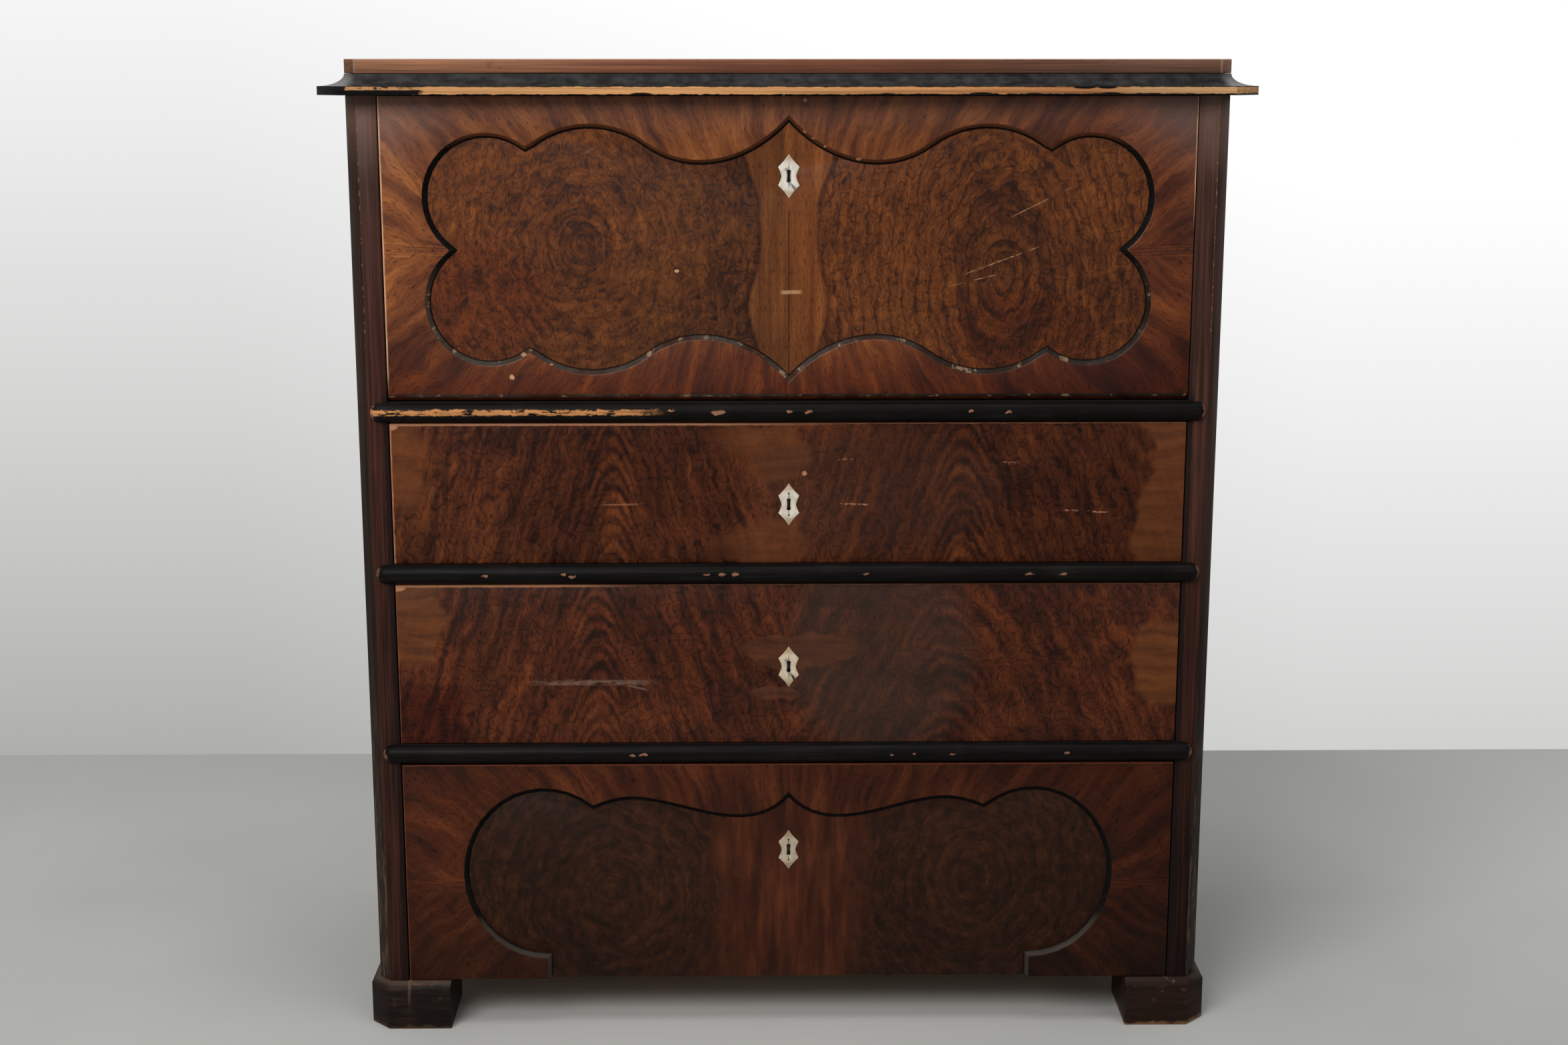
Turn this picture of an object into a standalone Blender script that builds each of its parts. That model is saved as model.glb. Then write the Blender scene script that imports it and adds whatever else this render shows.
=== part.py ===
"""Chiffonier with a writing fall over three long drawers.

Metres, +Z up, +Y to the back. The origin is on the floor in the middle of the plan.
"""
import bpy
import bmesh
from math import acos, cos, pi, radians, sin
from mathutils import Matrix, Vector

# Driving dimensions of the case
carcass_width = 1.100
carcass_depth = 0.500
foot_height = 0.0655
bottom_opening = 0.306
middle_opening = 0.217
upper_opening = 0.186
fall_opening = 0.383
bead_height = 0.025
cornice_height = 0.026
cornice_reach = 0.032
fillet_height = 0.0108
cap_thickness = 0.0175
cant = 0.016
arris = 0.0008

# Boards of the case
side_thickness = 0.022
stile_width = 0.0405
stile_depth = 0.030
rail_depth = 0.060
bottom_thickness = 0.020
back_thickness = 0.012
bead_margin = 0.0185
runner_reach = 0.035
guide_height = 0.030

# Feet
foot_width = 0.1095
foot_depth = 0.110
foot_front_reach = 0.0095
foot_side_reach = 0.0125
foot_cant = 0.026
foot_bevel = 0.0087
rear_foot_depth = 0.080

# Clearances
fit = 0.0003
front_gap = 0.0015
under_gap = 0.001
bottom_over_gap = 0.0035
drawer_over_gap = 0.002
fall_over_gap = 0.001
fall_under_gap = 0.0015
fall_back_gap = 0.001
overrun = 0.012

# Raised surrounds on the fall and on the bottom drawer
surround_relief = 0.007
surround_bevel = 0.0075
panel_core = 0.018

# Drawers
plain_front = 0.022
drawer_side = 0.012
drawer_back = 0.010
drawer_bottom = 0.008
drawer_bottom_lift = 0.008
drawer_side_gap = 0.002
drawer_side_drop = 0.012
drawer_rear_gap = 0.015

# Locks, keyholes and their bone plates
fall_key_drop = 0.0985
upper_key_drop = 0.106
middle_key_drop = 0.111
bottom_key_drop = 0.122
case_width = 0.060
case_depth = 0.011
case_below_key = 0.026
bolt_width = 0.014
bolt_thickness = 0.005
bolt_above_key = 0.012
bolt_travel = 0.008
bolt_sink = 0.0005
mortise_spare = 0.001
key_height = 0.016
key_width = 0.0050
key_waist_share = 0.56
key_shoulder = radians(-30)
plate_height = 0.055
plate_width = 0.0268
plate_thickness = 0.002
plate_shoulder_share = 0.418
plate_waist_share = 0.68
plate_hollow_share = 0.08

# Fall pivots and quadrant stays
pin_radius = 0.003
pin_in_fall = 0.010
pin_in_stile = 0.012
stay_radius = 0.110
stay_width = 0.008
stay_thickness = 0.003
stay_margin = 0.0145
stay_play = 0.001
stay_tail = radians(-15)
stay_steps = 20
stay_foot_height = 0.030
stay_foot_width = 0.018
stay_foot_thickness = 0.002
guide_block_depth = 0.016
guide_block_height = 0.024
guide_block_gap = 0.0045
guide_block_lip = 0.004

# Pigeonholes and letter drawers behind the fall
letter_setback = 0.160
letter_board = 0.008
letter_height = 0.110
letter_bay = 0.340
letter_gap = 0.001
letter_wall = 0.006
letter_front = 0.010
letter_floor = 0.005
letter_rear_gap = 0.004
knob_radius = 0.007
knob_length = 0.014
knob_neck_share = 0.5
knob_shares = ((0.7, 0.95), (1.0, 0.75), (0.9, 0.5), (0.5, 0.35))

# Outline of the fall's sunk field: shares of the panel's half width and half height
fall_small_centre_shares = (0.7417, 0.3417)
fall_small_radius_shares = (0.1594, 0.4258)
fall_large_centre_shares = (0.4882, 0.1813)
fall_large_radius_shares = (0.2411, 0.6439)
fall_small_arc = (radians(-53.2), radians(127.3))
fall_large_arc = (radians(49.7), radians(126))
fall_sweep_shares = ((0.2344, 0.4894), (0.0890, 0.6018), (0.0, 0.8830))

# Outline of the bottom drawer's field: shares of its half width and of its height
bottom_centre_shares = (0.6368, 0.4942)
bottom_radius_shares = (0.2136, 0.3997)
bottom_arc = (radians(-90), radians(127))
bottom_shoulder_shares = ((0.4567, 0.8541), (0.4055, 0.8541))
bottom_sweep_shares = ((0.2756, 0.8541), (0.1022, 0.6514), (0.0, 0.8740))
arc_steps = 22
sweep_steps = 16
cove_steps = 8
bead_steps = 12
edge_steps = 10
plate_steps = 4
key_steps = 5
pin_sides = 16
crease = radians(40)
unit = 1.0

# Plan and levels worked out from the sizes above
half = carcass_width / 2
opening = half - stile_width
inside = half - side_thickness
front = (cornice_reach - carcass_depth) / 2
back = front + carcass_depth
lower_rail = foot_height + bottom_opening
middle_rail = lower_rail + bead_height + middle_opening
upper_rail = middle_rail + bead_height + upper_opening
fall_level = upper_rail + bead_height
top_level = fall_level + fall_opening
cap_level = top_level + cornice_height
total_height = cap_level + cap_thickness
panel_thickness = panel_core + surround_relief
rear_inside = back - back_thickness - fit
panel_half = opening - front_gap
fall_low = fall_level + fall_under_gap
fall_high = top_level - fall_over_gap
pivot_radius = panel_thickness / 2
pivot = Vector((0, front + pivot_radius, fall_low + pivot_radius))
floor_top = fall_low + panel_thickness

for leftover in list(bpy.data.objects):
    bpy.data.objects.remove(leftover, do_unlink=True)


def collection(name):
    """Returns a new collection linked to the scene."""
    made = bpy.data.collections.new(name)
    bpy.context.scene.collection.children.link(made)
    return made


parts = collection("chiffonier")
cutters = collection("cutters")


def paint(name, colour, roughness, metallic=0.0):
    """Returns the Principled material of one piece."""
    material = bpy.data.materials.new(name)
    material.use_nodes = True
    shader = material.node_tree.nodes["Principled BSDF"]
    shader.inputs["Base Color"].default_value = (*colour, 1)
    shader.inputs["Roughness"].default_value = roughness
    shader.inputs["Metallic"].default_value = metallic
    material.diffuse_color = (*colour, 1)
    return material


walnut = ((0.150, 0.066, 0.030), 0.38)
dark_walnut = ((0.046, 0.020, 0.011), 0.40)
ebonised = ((0.012, 0.011, 0.010), 0.35)
cap_walnut = ((0.180, 0.090, 0.050), 0.45)
bare_wood = ((0.420, 0.270, 0.140), 0.65)
bone = ((0.720, 0.660, 0.560), 0.40)
iron = ((0.130, 0.120, 0.110), 0.45, 0.9)
brass = ((0.560, 0.400, 0.160), 0.32, 1.0)


def finish(name, body, colours, shape):
    """Makes a named piece of a bmesh in world coordinates, and hangs it on its body."""
    bmesh.ops.recalc_face_normals(shape, faces=shape.faces)
    mesh = bpy.data.meshes.new(name)
    shape.to_mesh(mesh)
    shape.free()
    mesh.materials.append(paint(name, *colours))
    piece = bpy.data.objects.new(name, mesh)
    parts.objects.link(piece)
    if body:
        piece.parent = body
        piece.matrix_parent_inverse = Matrix.Translation(-body.location)
    return piece


def body_at(name, place):
    """Adds the empty that a moving body turns or slides with, on its joint's axis."""
    empty = bpy.data.objects.new("body_" + name, None)
    empty.location = place
    parts.objects.link(empty)
    return empty


def cutter(name, shape):
    """Makes a cutter of a bmesh in world coordinates."""
    bmesh.ops.recalc_face_normals(shape, faces=shape.faces)
    mesh = bpy.data.meshes.new(name)
    shape.to_mesh(mesh)
    shape.free()
    piece = bpy.data.objects.new(name, mesh)
    cutters.objects.link(piece)
    piece.hide_render = True
    piece.display_type = "WIRE"
    return piece


def combine(piece, other, operation="DIFFERENCE"):
    """Cuts or joins a piece with another object."""
    change = piece.modifiers.new(operation.title() + " " + other.name, "BOOLEAN")
    change.operation = operation
    change.solver = "EXACT"
    change.object = other


def soften(piece, width=arris):
    """Takes the sharpness off a piece's arrises."""
    change = piece.modifiers.new("Arris", "BEVEL")
    change.width = width
    change.segments = 1
    change.limit_method = "ANGLE"


def smooth(piece):
    """Shades a round piece smooth."""
    piece.data.shade_smooth()
    piece.data.set_sharp_from_angle(angle=crease)


def block(low, high, shape=None):
    """Adds a box between two corners to a bmesh."""
    shape = shape or bmesh.new()
    low, high = Vector(low), Vector(high)
    made = bmesh.ops.create_cube(shape, size=unit)["verts"]
    bmesh.ops.scale(shape, vec=high - low, verts=made)
    bmesh.ops.translate(shape, vec=(low + high) / 2, verts=made)
    return shape


def pair(name, body, colours, low, high):
    """Makes a board at the right and its mirror image at the left."""
    left = block((-high[0], low[1], low[2]), (-low[0], high[1], high[2]))
    return (finish(name + "_left", body, colours, left),
            finish(name + "_right", body, colours, block(low, high)))


# A drawing plane: its two directions and its normal, as columns
PLAN = Matrix.Identity(4)
ELEVATION = Matrix(((1, 0, 0, 0), (0, 0, -1, 0), (0, 1, 0, 0), (0, 0, 0, 1)))
SECTION = Matrix(((0, 0, 1, 0), (1, 0, 0, 0), (0, 1, 0, 0), (0, 0, 0, 1)))


def slab(outline, plane, low, high, shape=None):
    """Adds a flat outline to a bmesh, thick from low to high across its drawing plane."""
    shape = shape or bmesh.new()
    drawing = bpy.data.curves.new("outline", "CURVE")
    drawing.dimensions = "2D"
    drawing.fill_mode = "BOTH"
    drawing.extrude = (high - low) / 2
    line = drawing.splines.new("POLY")
    line.points.add(len(outline) - 1)
    for point, (across, up) in zip(line.points, outline):
        point.co = (across, up, 0, 1)
    line.use_cyclic_u = True
    holder = bpy.data.objects.new("outline", drawing)
    cutters.objects.link(holder)
    bpy.context.view_layer.update()
    mesh = bpy.data.meshes.new_from_object(holder.evaluated_get(bpy.context.evaluated_depsgraph_get()))
    normal = plane.to_3x3().col[2]
    facing = 1 if sum(normal) > 0 else -1
    mesh.transform(Matrix.Translation(normal * facing * (low + high) / 2) @ plane)
    added = bmesh.new()
    added.from_mesh(mesh)
    bmesh.ops.remove_doubles(added, verts=added.verts, dist=fit / 10)
    added.to_mesh(mesh)
    added.free()
    shape.from_mesh(mesh)
    bpy.data.objects.remove(holder)
    bpy.data.meshes.remove(mesh)
    return shape


def trim(shape, place, normal):
    """Cuts a bmesh off at a plane, on the side that the normal points to, and leaves it open."""
    everything = shape.verts[:] + shape.edges[:] + shape.faces[:]
    bmesh.ops.bisect_plane(
        shape, geom=everything, dist=fit / 100, plane_co=place, plane_no=normal, clear_outer=True)


def close(shape):
    """Closes the open ends of a bmesh."""
    bmesh.ops.edgenet_fill(shape, edges=[edge for edge in shape.edges if edge.is_boundary])


def arc(centre, radii, span, steps=arc_steps):
    """Points along an arc of an ellipse."""
    start, end = span
    turns = [start + (end - start) * step / steps for step in range(steps + 1)]
    return [(centre[0] + radii[0] * cos(turn), centre[1] + radii[1] * sin(turn)) for turn in turns]


def sweep(points, steps=sweep_steps):
    """Points along a Bezier curve of any order, without its first point."""
    line = []
    for step in range(1, steps + 1):
        share = step / steps
        row = [Vector(point) for point in points]
        while len(row) > 1:
            row = [near.lerp(far, share) for near, far in zip(row, row[1:])]
        line.append(tuple(row[0]))
    return line


def fall_outline():
    """The fall's field, closed, in metres about the panel's middle."""
    line = arc(fall_small_centre_shares, fall_small_radius_shares, fall_small_arc)
    line += arc(fall_large_centre_shares, fall_large_radius_shares, fall_large_arc)[1:]
    line += sweep([line[-1], *fall_sweep_shares])
    wide, tall = panel_half, (fall_high - fall_low) / 2
    quarter = [(across * wide, up * tall) for across, up in line]
    upper = quarter + [(-across, up) for across, up in reversed(quarter[1:-1])]
    lower = [(-across, -up) for across, up in quarter[:1] + quarter[1:-1]]
    lower += [(across, -up) for across, up in reversed(quarter[1:])]
    upper.append((-quarter[0][0], quarter[0][1]))
    return closed(upper + lower[1:])


def bottom_outline():
    """The bottom drawer's field, open downwards, in metres from the front's low edge."""
    line = arc(bottom_centre_shares, bottom_radius_shares, bottom_arc)
    line += sweep([line[-1], *bottom_shoulder_shares])
    line += sweep([line[-1], *bottom_sweep_shares])
    wide, tall = panel_half, bottom_high - bottom_low
    right = [(across * wide, up * tall) for across, up in line]
    right.insert(0, (right[0][0], -overrun))
    return closed(right + [(-across, up) for across, up in reversed(right[:-1])])


def closed(line):
    """A closed outline without points that repeat the one before."""
    kept = []
    for point, following in zip(line, line[1:] + line[:1]):
        if (Vector(point) - Vector(following)).length > fit:
            kept.append(point)
    return kept


def field_cutter(name, outline, level):
    """The sunk field's cutter: straight in front of the panel, then in along the bevel."""
    line = [(across, up + level) for across, up in outline]
    shape = slab(line, ELEVATION, front - overrun, front)
    rear = [face for face in shape.faces if face.calc_center_median().y > front - fit]
    bmesh.ops.inset_region(
        shape, faces=rear, thickness=surround_bevel, depth=0, use_even_offset=True, use_boundary=True)
    inner = list({vert for face in rear for vert in face.verts})
    bmesh.ops.translate(shape, vec=(0, surround_relief, 0), verts=inner)
    bmesh.ops.recalc_face_normals(shape, faces=shape.faces)
    return cutter(name, shape)


# Case: stiles, sides, top, bottom and back
def plan_outline():
    """The case seen from above, with its front corners canted."""
    return [(half - cant, front), (half, front + cant), (half, back), (-half, back),
            (-half, front + cant), (cant - half, front)]


for side, hand in (("left", -1), ("right", 1)):
    corner = [(opening, front), (half - cant, front), (half, front + cant),
              (half, front + stile_depth), (opening, front + stile_depth)]
    corner = [(hand * across, along) for across, along in corner]
    stile = finish("stile_" + side, None, ebonised, slab(corner, PLAN, foot_height, top_level - fit))
    soften(stile)
pair("side", None, dark_walnut,
     (inside, front + stile_depth + fit, foot_height), (half, back, top_level - fit))
pair("lining", None, bare_wood,
     (opening, front + stile_depth + fit, upper_rail), (inside - fit, rear_inside, top_level - fit))

top_board = finish("top_board", None, ebonised, slab(plan_outline(), PLAN, top_level, cap_level - fit))
top_cap = finish("top_cap", None, cap_walnut, slab(plan_outline(), PLAN, cap_level, total_height))
soften(top_cap)

finish("back_board", None, bare_wood, block(
    (fit - inside, back - back_thickness, foot_height), (inside - fit, back, top_level - fit)))

bottom_level = foot_height + bottom_thickness
guided = [(opening, bottom_level), (opening, bottom_level + guide_height),
          (inside - fit, bottom_level + guide_height), (inside - fit, foot_height)]
finish("bottom_board", None, bare_wood, slab(
    guided + [(-across, up) for across, up in reversed(guided)], ELEVATION,
    front + stile_depth + fit, rear_inside))

writing_floor = finish("writing_floor", None, walnut, block(
    (fit - opening, front + panel_thickness + fall_back_gap, fall_level + fit),
    (opening - fit, rear_inside, floor_top)))

# Cornice: a fillet with a cove over it, mitred round the canted corners
cove = [(cornice_reach * (1 - sin(turn)), cornice_height - (cornice_height - fillet_height) * cos(turn))
        for turn in [pi / 2 * step / cove_steps for step in range(cove_steps + 1)]]
cornice_profile = [(-fit, 0), (-cornice_reach, 0)] + [(-out, up) for out, up in cove[:-1]]
cornice_profile.append((-fit, cornice_height - fit))


def cornice(name, corners, turns):
    """Makes a cornice along plan corners, mitred at each one by half of the turn there."""
    shape = bmesh.new()
    for number in range(len(corners) - 1):
        start, end = Vector(corners[number]), Vector(corners[number + 1])
        along = (end - start).normalized()
        run = slab(cornice_profile, SECTION, -cornice_reach, (end - start).length + cornice_reach)
        frame = Matrix(((along.x, -along.y, 0, start.x), (along.y, along.x, 0, start.y),
                        (0, 0, 1, top_level), (0, 0, 0, 1)))
        bmesh.ops.transform(run, matrix=frame, verts=run.verts)
        for place, turn, outward in ((start, turns[number], -1), (end, turns[number + 1], 1)):
            mitre = Matrix.Rotation(outward * turn / 2, 2) @ (along * outward)
            last = place == Vector(corners[0]) or place == Vector(corners[-1])
            inset = place - mitre * fit / 2 if last else place
            trim(run, (*inset, 0), (*mitre, 0))
        mesh = bpy.data.meshes.new("run")
        run.to_mesh(mesh)
        run.free()
        shape.from_mesh(mesh)
        bpy.data.meshes.remove(mesh)
    bmesh.ops.remove_doubles(shape, verts=shape.verts, dist=fit / 10)
    close(shape)
    finish(name, None, ebonised, shape)


eighth = pi / 4
near, far = half - cant, front + cant
cornice("cornice_front", [(-half, far), (-near, front), (near, front), (half, far)], [eighth] * 4)
cornice("cornice_right", [(half, far), (half, back)], [eighth, 0])
cornice("cornice_left", [(-half, back), (-half, far)], [0, eighth])

# Rails, their half-round beads, and the runners and guides of the drawers
rails = {}
for name, level in (("lower", lower_rail), ("middle", middle_rail), ("upper", upper_rail)):
    rails[name] = finish("rail_" + name, None, bare_wood, block(
        (fit - opening, front, level), (opening - fit, front + rail_depth, level + bead_height)))
    radius = bead_height / 2
    bead = bmesh.new()
    bmesh.ops.create_uvsphere(
        bead, u_segments=2 * bead_steps, v_segments=bead_steps, radius=radius,
        matrix=Matrix.Rotation(pi / 2, 4, "Y"))
    far_half = [face for face in bead.faces if face.calc_center_median().x > 0]
    straight = 2 * (half - bead_margin - radius)
    pulled = bmesh.ops.extrude_face_region(bead, geom=far_half)["geom"]
    pulled = [item for item in pulled if isinstance(item, bmesh.types.BMVert)]
    bmesh.ops.delete(bead, geom=[face for face in far_half if face.is_valid], context="FACES")
    bmesh.ops.translate(bead, vec=(straight, 0, 0), verts=pulled)
    bmesh.ops.translate(bead, vec=(-straight / 2, front, level + radius), verts=bead.verts)
    trim(bead, (0, front - fit, 0), (0, 1, 0))
    close(bead)
    smooth(finish("bead_" + name, None, ebonised, bead))

for name, level in (("middle", lower_rail), ("upper", middle_rail)):
    upper = level + bead_height
    rebated = [(opening - runner_reach, level), (inside - fit, level), (inside - fit, upper + guide_height),
               (opening, upper + guide_height), (opening, upper), (opening - runner_reach, upper)]
    for side, hand in (("left", -1), ("right", 1)):
        finish("runner_" + name + "_" + side, None, bare_wood, slab(
            [(hand * across, up) for across, up in rebated], ELEVATION,
            front + rail_depth + fit, rear_inside))

# Feet: blocks that stand proud of the case, bevelled up to it
for side, hand in (("left", -1), ("right", 1)):
    outer, near = half + foot_side_reach, front - foot_front_reach
    plan = [(outer - foot_width, near), (outer - foot_cant, near), (outer, near + foot_cant),
            (outer, near + foot_depth), (outer - foot_width, near + foot_depth)]
    foot = slab([(hand * across, along) for across, along in plan], PLAN, 0, foot_height - fit)
    bmesh.ops.dissolve_limit(foot, angle_limit=radians(1), verts=foot.verts, edges=foot.edges)
    upper_edges = []
    for edge in foot.edges:
        middle = (edge.verts[0].co + edge.verts[1].co) / 2
        high = min(vert.co.z for vert in edge.verts) > foot_height / 2
        outside = hand * middle.x > half - cant or middle.y < near + fit
        if high and outside and middle.y < near + foot_depth - fit:
            upper_edges.append(edge)
    bmesh.ops.bevel(foot, geom=upper_edges, offset=foot_bevel, offset_type="OFFSET", segments=1,
                    affect="EDGES", clamp_overlap=True)
    finish("foot_front_" + side, None, ebonised, foot)
pair("foot_rear", None, dark_walnut,
     (half - foot_width, back - rear_foot_depth, 0), (half, back, foot_height - fit))


# Keyholes, bone plates, locks and bolts
def plate_outline(grow=0.0):
    """The bone plate about its middle: two points, four shoulders and a waist."""
    wide, tall = plate_width / 2 + grow, plate_height / 2 + grow
    shoulder, waist = plate_shoulder_share, plate_waist_share
    corners = [(0, 1), (1, shoulder), (waist, 0), (1, -shoulder), (0, -1), (-1, -shoulder),
               (-waist, 0), (-1, shoulder)]
    line = []
    for near, far in zip(corners, corners[1:] + corners[:1]):
        between = (Vector(near) + Vector(far)) / 2 * (1 - plate_hollow_share)
        line += sweep([near, between, far], plate_steps)
    return [(across * wide, up * tall) for across, up in line]


def key_outline():
    """The keyhole about its middle: a slot that narrows at its waist."""
    radius = key_width / 2
    reach = key_height / 2 - radius
    waist = radius * key_waist_share
    right = arc((0, reach), (radius, radius), (key_shoulder, pi / 2), key_steps)
    left = [(-across, up) for across, up in reversed(right[:-1])]
    upper = [(waist, 0)] + right + left + [(-waist, 0)]
    return upper + [(across, -up) for across, up in reversed(upper[1:-1])]


def shifted(outline, level):
    """An outline moved up to a level."""
    return [(across, up + level) for across, up in outline]


def lock_set(name, board, body, key, face, inner, high):
    """Fits a bone plate, a lock case and its bolt to a board.

    face and inner are the board's outer and inner faces, high its top edge and key the
    level of the keyhole. The bolt has a body of its own, which the board's body carries.
    """
    keyhole = cutter(name + "_keyhole", slab(
        shifted(key_outline(), key), ELEVATION, face - overrun, inner - case_depth / 2))
    recess = cutter(name + "_plate_recess", slab(
        shifted(plate_outline(fit), key), ELEVATION, face - overrun, face + plate_thickness + fit))
    low = key - case_below_key
    pocket = cutter(name + "_case_pocket", block(
        (-case_width / 2 - fit, inner - case_depth - fit, low - fit),
        (case_width / 2 + fit, inner + overrun, high + overrun)))
    for cut in (keyhole, recess, pocket):
        combine(board, cut)
    plate = finish(name + "_escutcheon", body, bone, slab(
        shifted(plate_outline(), key), ELEVATION, face, face + plate_thickness))
    combine(plate, keyhole)
    case = finish(name + "_lock", body, iron, block(
        (-case_width / 2, inner - case_depth, low), (case_width / 2, inner, high)))
    combine(case, keyhole)
    bolt_low = key + bolt_above_key
    middle = inner - case_depth / 2
    slot = cutter(name + "_bolt_slot", block(
        (-bolt_width / 2 - fit, middle - bolt_thickness / 2 - fit, bolt_low - fit),
        (bolt_width / 2 + fit, middle + bolt_thickness / 2 + fit, high + overrun)))
    combine(case, slot)
    bolt_body = body_at(name + "_bolt", (0, middle, high))
    bolt_body.parent = body
    bolt_body.matrix_parent_inverse = Matrix.Translation(-body.location)
    finish(name + "_bolt", bolt_body, iron, block(
        (-bolt_width / 2, middle - bolt_thickness / 2, bolt_low),
        (bolt_width / 2, middle + bolt_thickness / 2, high - bolt_sink)))
    return middle


def bolt_mortise(name, board, middle, level):
    """Cuts the mortise that a bolt shoots into, in the underside of the board above it."""
    combine(board, cutter(name + "_mortise", block(
        (-bolt_width / 2 - mortise_spare, middle - bolt_thickness / 2 - mortise_spare, level - overrun),
        (bolt_width / 2 + mortise_spare, middle + bolt_thickness / 2 + mortise_spare,
         level + bolt_travel + mortise_spare))))


# Fall: a core board with a raised surround, round at its low edge about the pivots
fall = body_at("fall", pivot)


def fall_section(near, far):
    """The fall's section between two depths behind its face, round about the pivot below."""
    span = [acos((depth - pivot_radius) / pivot_radius) for depth in (far, near)]
    low_edge = arc((pivot.y, pivot.z), (pivot_radius, pivot_radius), (-span[0], -span[1]), edge_steps)
    return low_edge + [(front + near, fall_high), (front + far, fall_high)]


fall_board = finish("fall_board", fall, walnut, slab(
    fall_section(surround_relief, panel_thickness), SECTION, -panel_half, panel_half))
fall_surround = finish("fall_surround", fall, walnut, slab(
    fall_section(0, surround_relief - fit), SECTION, -panel_half, panel_half))
combine(fall_surround, field_cutter("fall_field", fall_outline(), (fall_low + fall_high) / 2))
fall_bolt_line = lock_set(
    "fall", fall_board, fall, fall_high - fall_key_drop, front + surround_relief,
    front + panel_thickness, fall_high)
bolt_mortise("fall", top_board, fall_bolt_line, top_level)


def pin(name, radius, reach, hand):
    """A pivot's round pin, or its hole, from inside the fall's end into a stile."""
    shape = bmesh.new()
    centre = hand * (opening + (reach - pin_in_fall) / 2)
    place = Matrix.Translation((centre, pivot.y, pivot.z)) @ Matrix.Rotation(pi / 2, 4, "Y")
    bmesh.ops.create_cone(shape, cap_ends=True, segments=pin_sides, radius1=radius, radius2=radius,
                          depth=reach + pin_in_fall, matrix=place)
    return cutter(name, shape)


for side, hand in (("left", -1), ("right", 1)):
    combine(fall_board, pin("pin_" + side, pin_radius, pin_in_stile, hand), "UNION")
    combine(bpy.data.objects["stile_" + side],
            pin("pin_hole_" + side, pin_radius + fit, pin_in_stile + fit, hand))

# Quadrant stays on the fall, their guide blocks, and the slots that they pass in the floor
stay_out = opening - stay_margin
stay_head = acos((pivot_radius + fit + stay_foot_thickness / 2) / (stay_radius - stay_width / 2))


def stay_outline(grow, spread):
    """A quadrant's side view, from its head on the fall to its tail below the floor."""
    middle = (pivot.y, pivot.z)
    outer, inner = stay_radius + stay_width / 2 + grow, stay_radius - stay_width / 2 - grow
    span = (stay_tail - spread, stay_head + spread)
    return arc(middle, (outer, outer), span, stay_steps) + arc(
        middle, (inner, inner), (span[1], span[0]), stay_steps)


inner_face = front + panel_thickness + fit
block_near = inner_face + guide_block_gap
block_middle = pivot.z + stay_radius
guide_blocks = pair("stay_guide", None, brass, (
    stay_out - stay_thickness / 2 - guide_block_lip, block_near, block_middle - guide_block_height / 2), (
    opening - fit, block_near + guide_block_depth, block_middle + guide_block_height / 2))
stays = pair("fall_stay", fall, brass, (
    stay_out - stay_foot_width / 2, inner_face, block_middle - stay_foot_height / 2), (
    stay_out + stay_foot_width / 2, inner_face + stay_foot_thickness, block_middle + stay_foot_height / 2))
for hand, stay, guide_block in zip((-1, 1), stays, guide_blocks):
    edges = sorted((hand * (stay_out - stay_thickness / 2), hand * (stay_out + stay_thickness / 2)))
    combine(stay, cutter(stay.name + "_bar", slab(stay_outline(0, 0), SECTION, *edges)), "UNION")
    slot = cutter(stay.name + "_slot", slab(
        stay_outline(stay_play, stay_play / stay_radius), SECTION, edges[0] - stay_play,
        edges[1] + stay_play))
    combine(guide_block, slot)
    combine(writing_floor, slot)


# Drawers
def drawer(name, low, floor, high, thickness):
    """Makes a drawer's dovetailed sides and back, and its bottom, behind a front of some thickness."""
    body = body_at(name + "_drawer", (0, front, low))
    outer = opening - drawer_side_gap
    inner = outer - drawer_side
    rear = rear_inside - drawer_rear_gap
    near = front + thickness + fit
    base = floor + fit
    upper = high - drawer_side_drop
    plan = [(outer, near), (outer, rear), (-outer, rear), (-outer, near), (-inner, near),
            (-inner, rear - drawer_back), (inner, rear - drawer_back), (inner, near)]
    finish(name + "_drawer_box", body, bare_wood, slab(plan, PLAN, base, upper))
    panel_low = base + drawer_bottom_lift
    finish(name + "_drawer_bottom", body, bare_wood, block(
        (fit - inner, near, panel_low), (inner - fit, rear - drawer_back - fit, panel_low + drawer_bottom)))
    return body


for name, below, above, key_drop in (
        ("upper", middle_rail + bead_height, upper_rail, upper_key_drop),
        ("middle", lower_rail + bead_height, middle_rail, middle_key_drop)):
    low, high = below + under_gap, above - drawer_over_gap
    body = drawer(name, low, below, high, plain_front)
    board = finish(name + "_drawer_front", body, dark_walnut, block(
        (-panel_half, front, low), (panel_half, front + plain_front, high)))
    soften(board)
    bolt_line = lock_set(name, board, body, high - key_drop, front, front + plain_front, high)
    bolt_mortise(name, rails[name], bolt_line, above)

bottom_low = foot_height + under_gap
bottom_high = lower_rail - bottom_over_gap
bottom = drawer("bottom", bottom_low, foot_height + bottom_thickness, bottom_high, panel_thickness)
bottom_front = finish("bottom_drawer_front", bottom, dark_walnut, block(
    (-panel_half, front + surround_relief, bottom_low), (panel_half, front + panel_thickness, bottom_high)))
bottom_surround = finish("bottom_drawer_surround", bottom, dark_walnut, block(
    (-panel_half, front, bottom_low), (panel_half, front + surround_relief - fit, bottom_high)))
combine(bottom_surround, field_cutter("bottom_field", bottom_outline(), bottom_low))
bolt_line = lock_set(
    "bottom", bottom_front, bottom, bottom_high - bottom_key_drop, front + surround_relief,
    front + panel_thickness, bottom_high)
bolt_mortise("bottom", rails["lower"], bolt_line, lower_rail)

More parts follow.
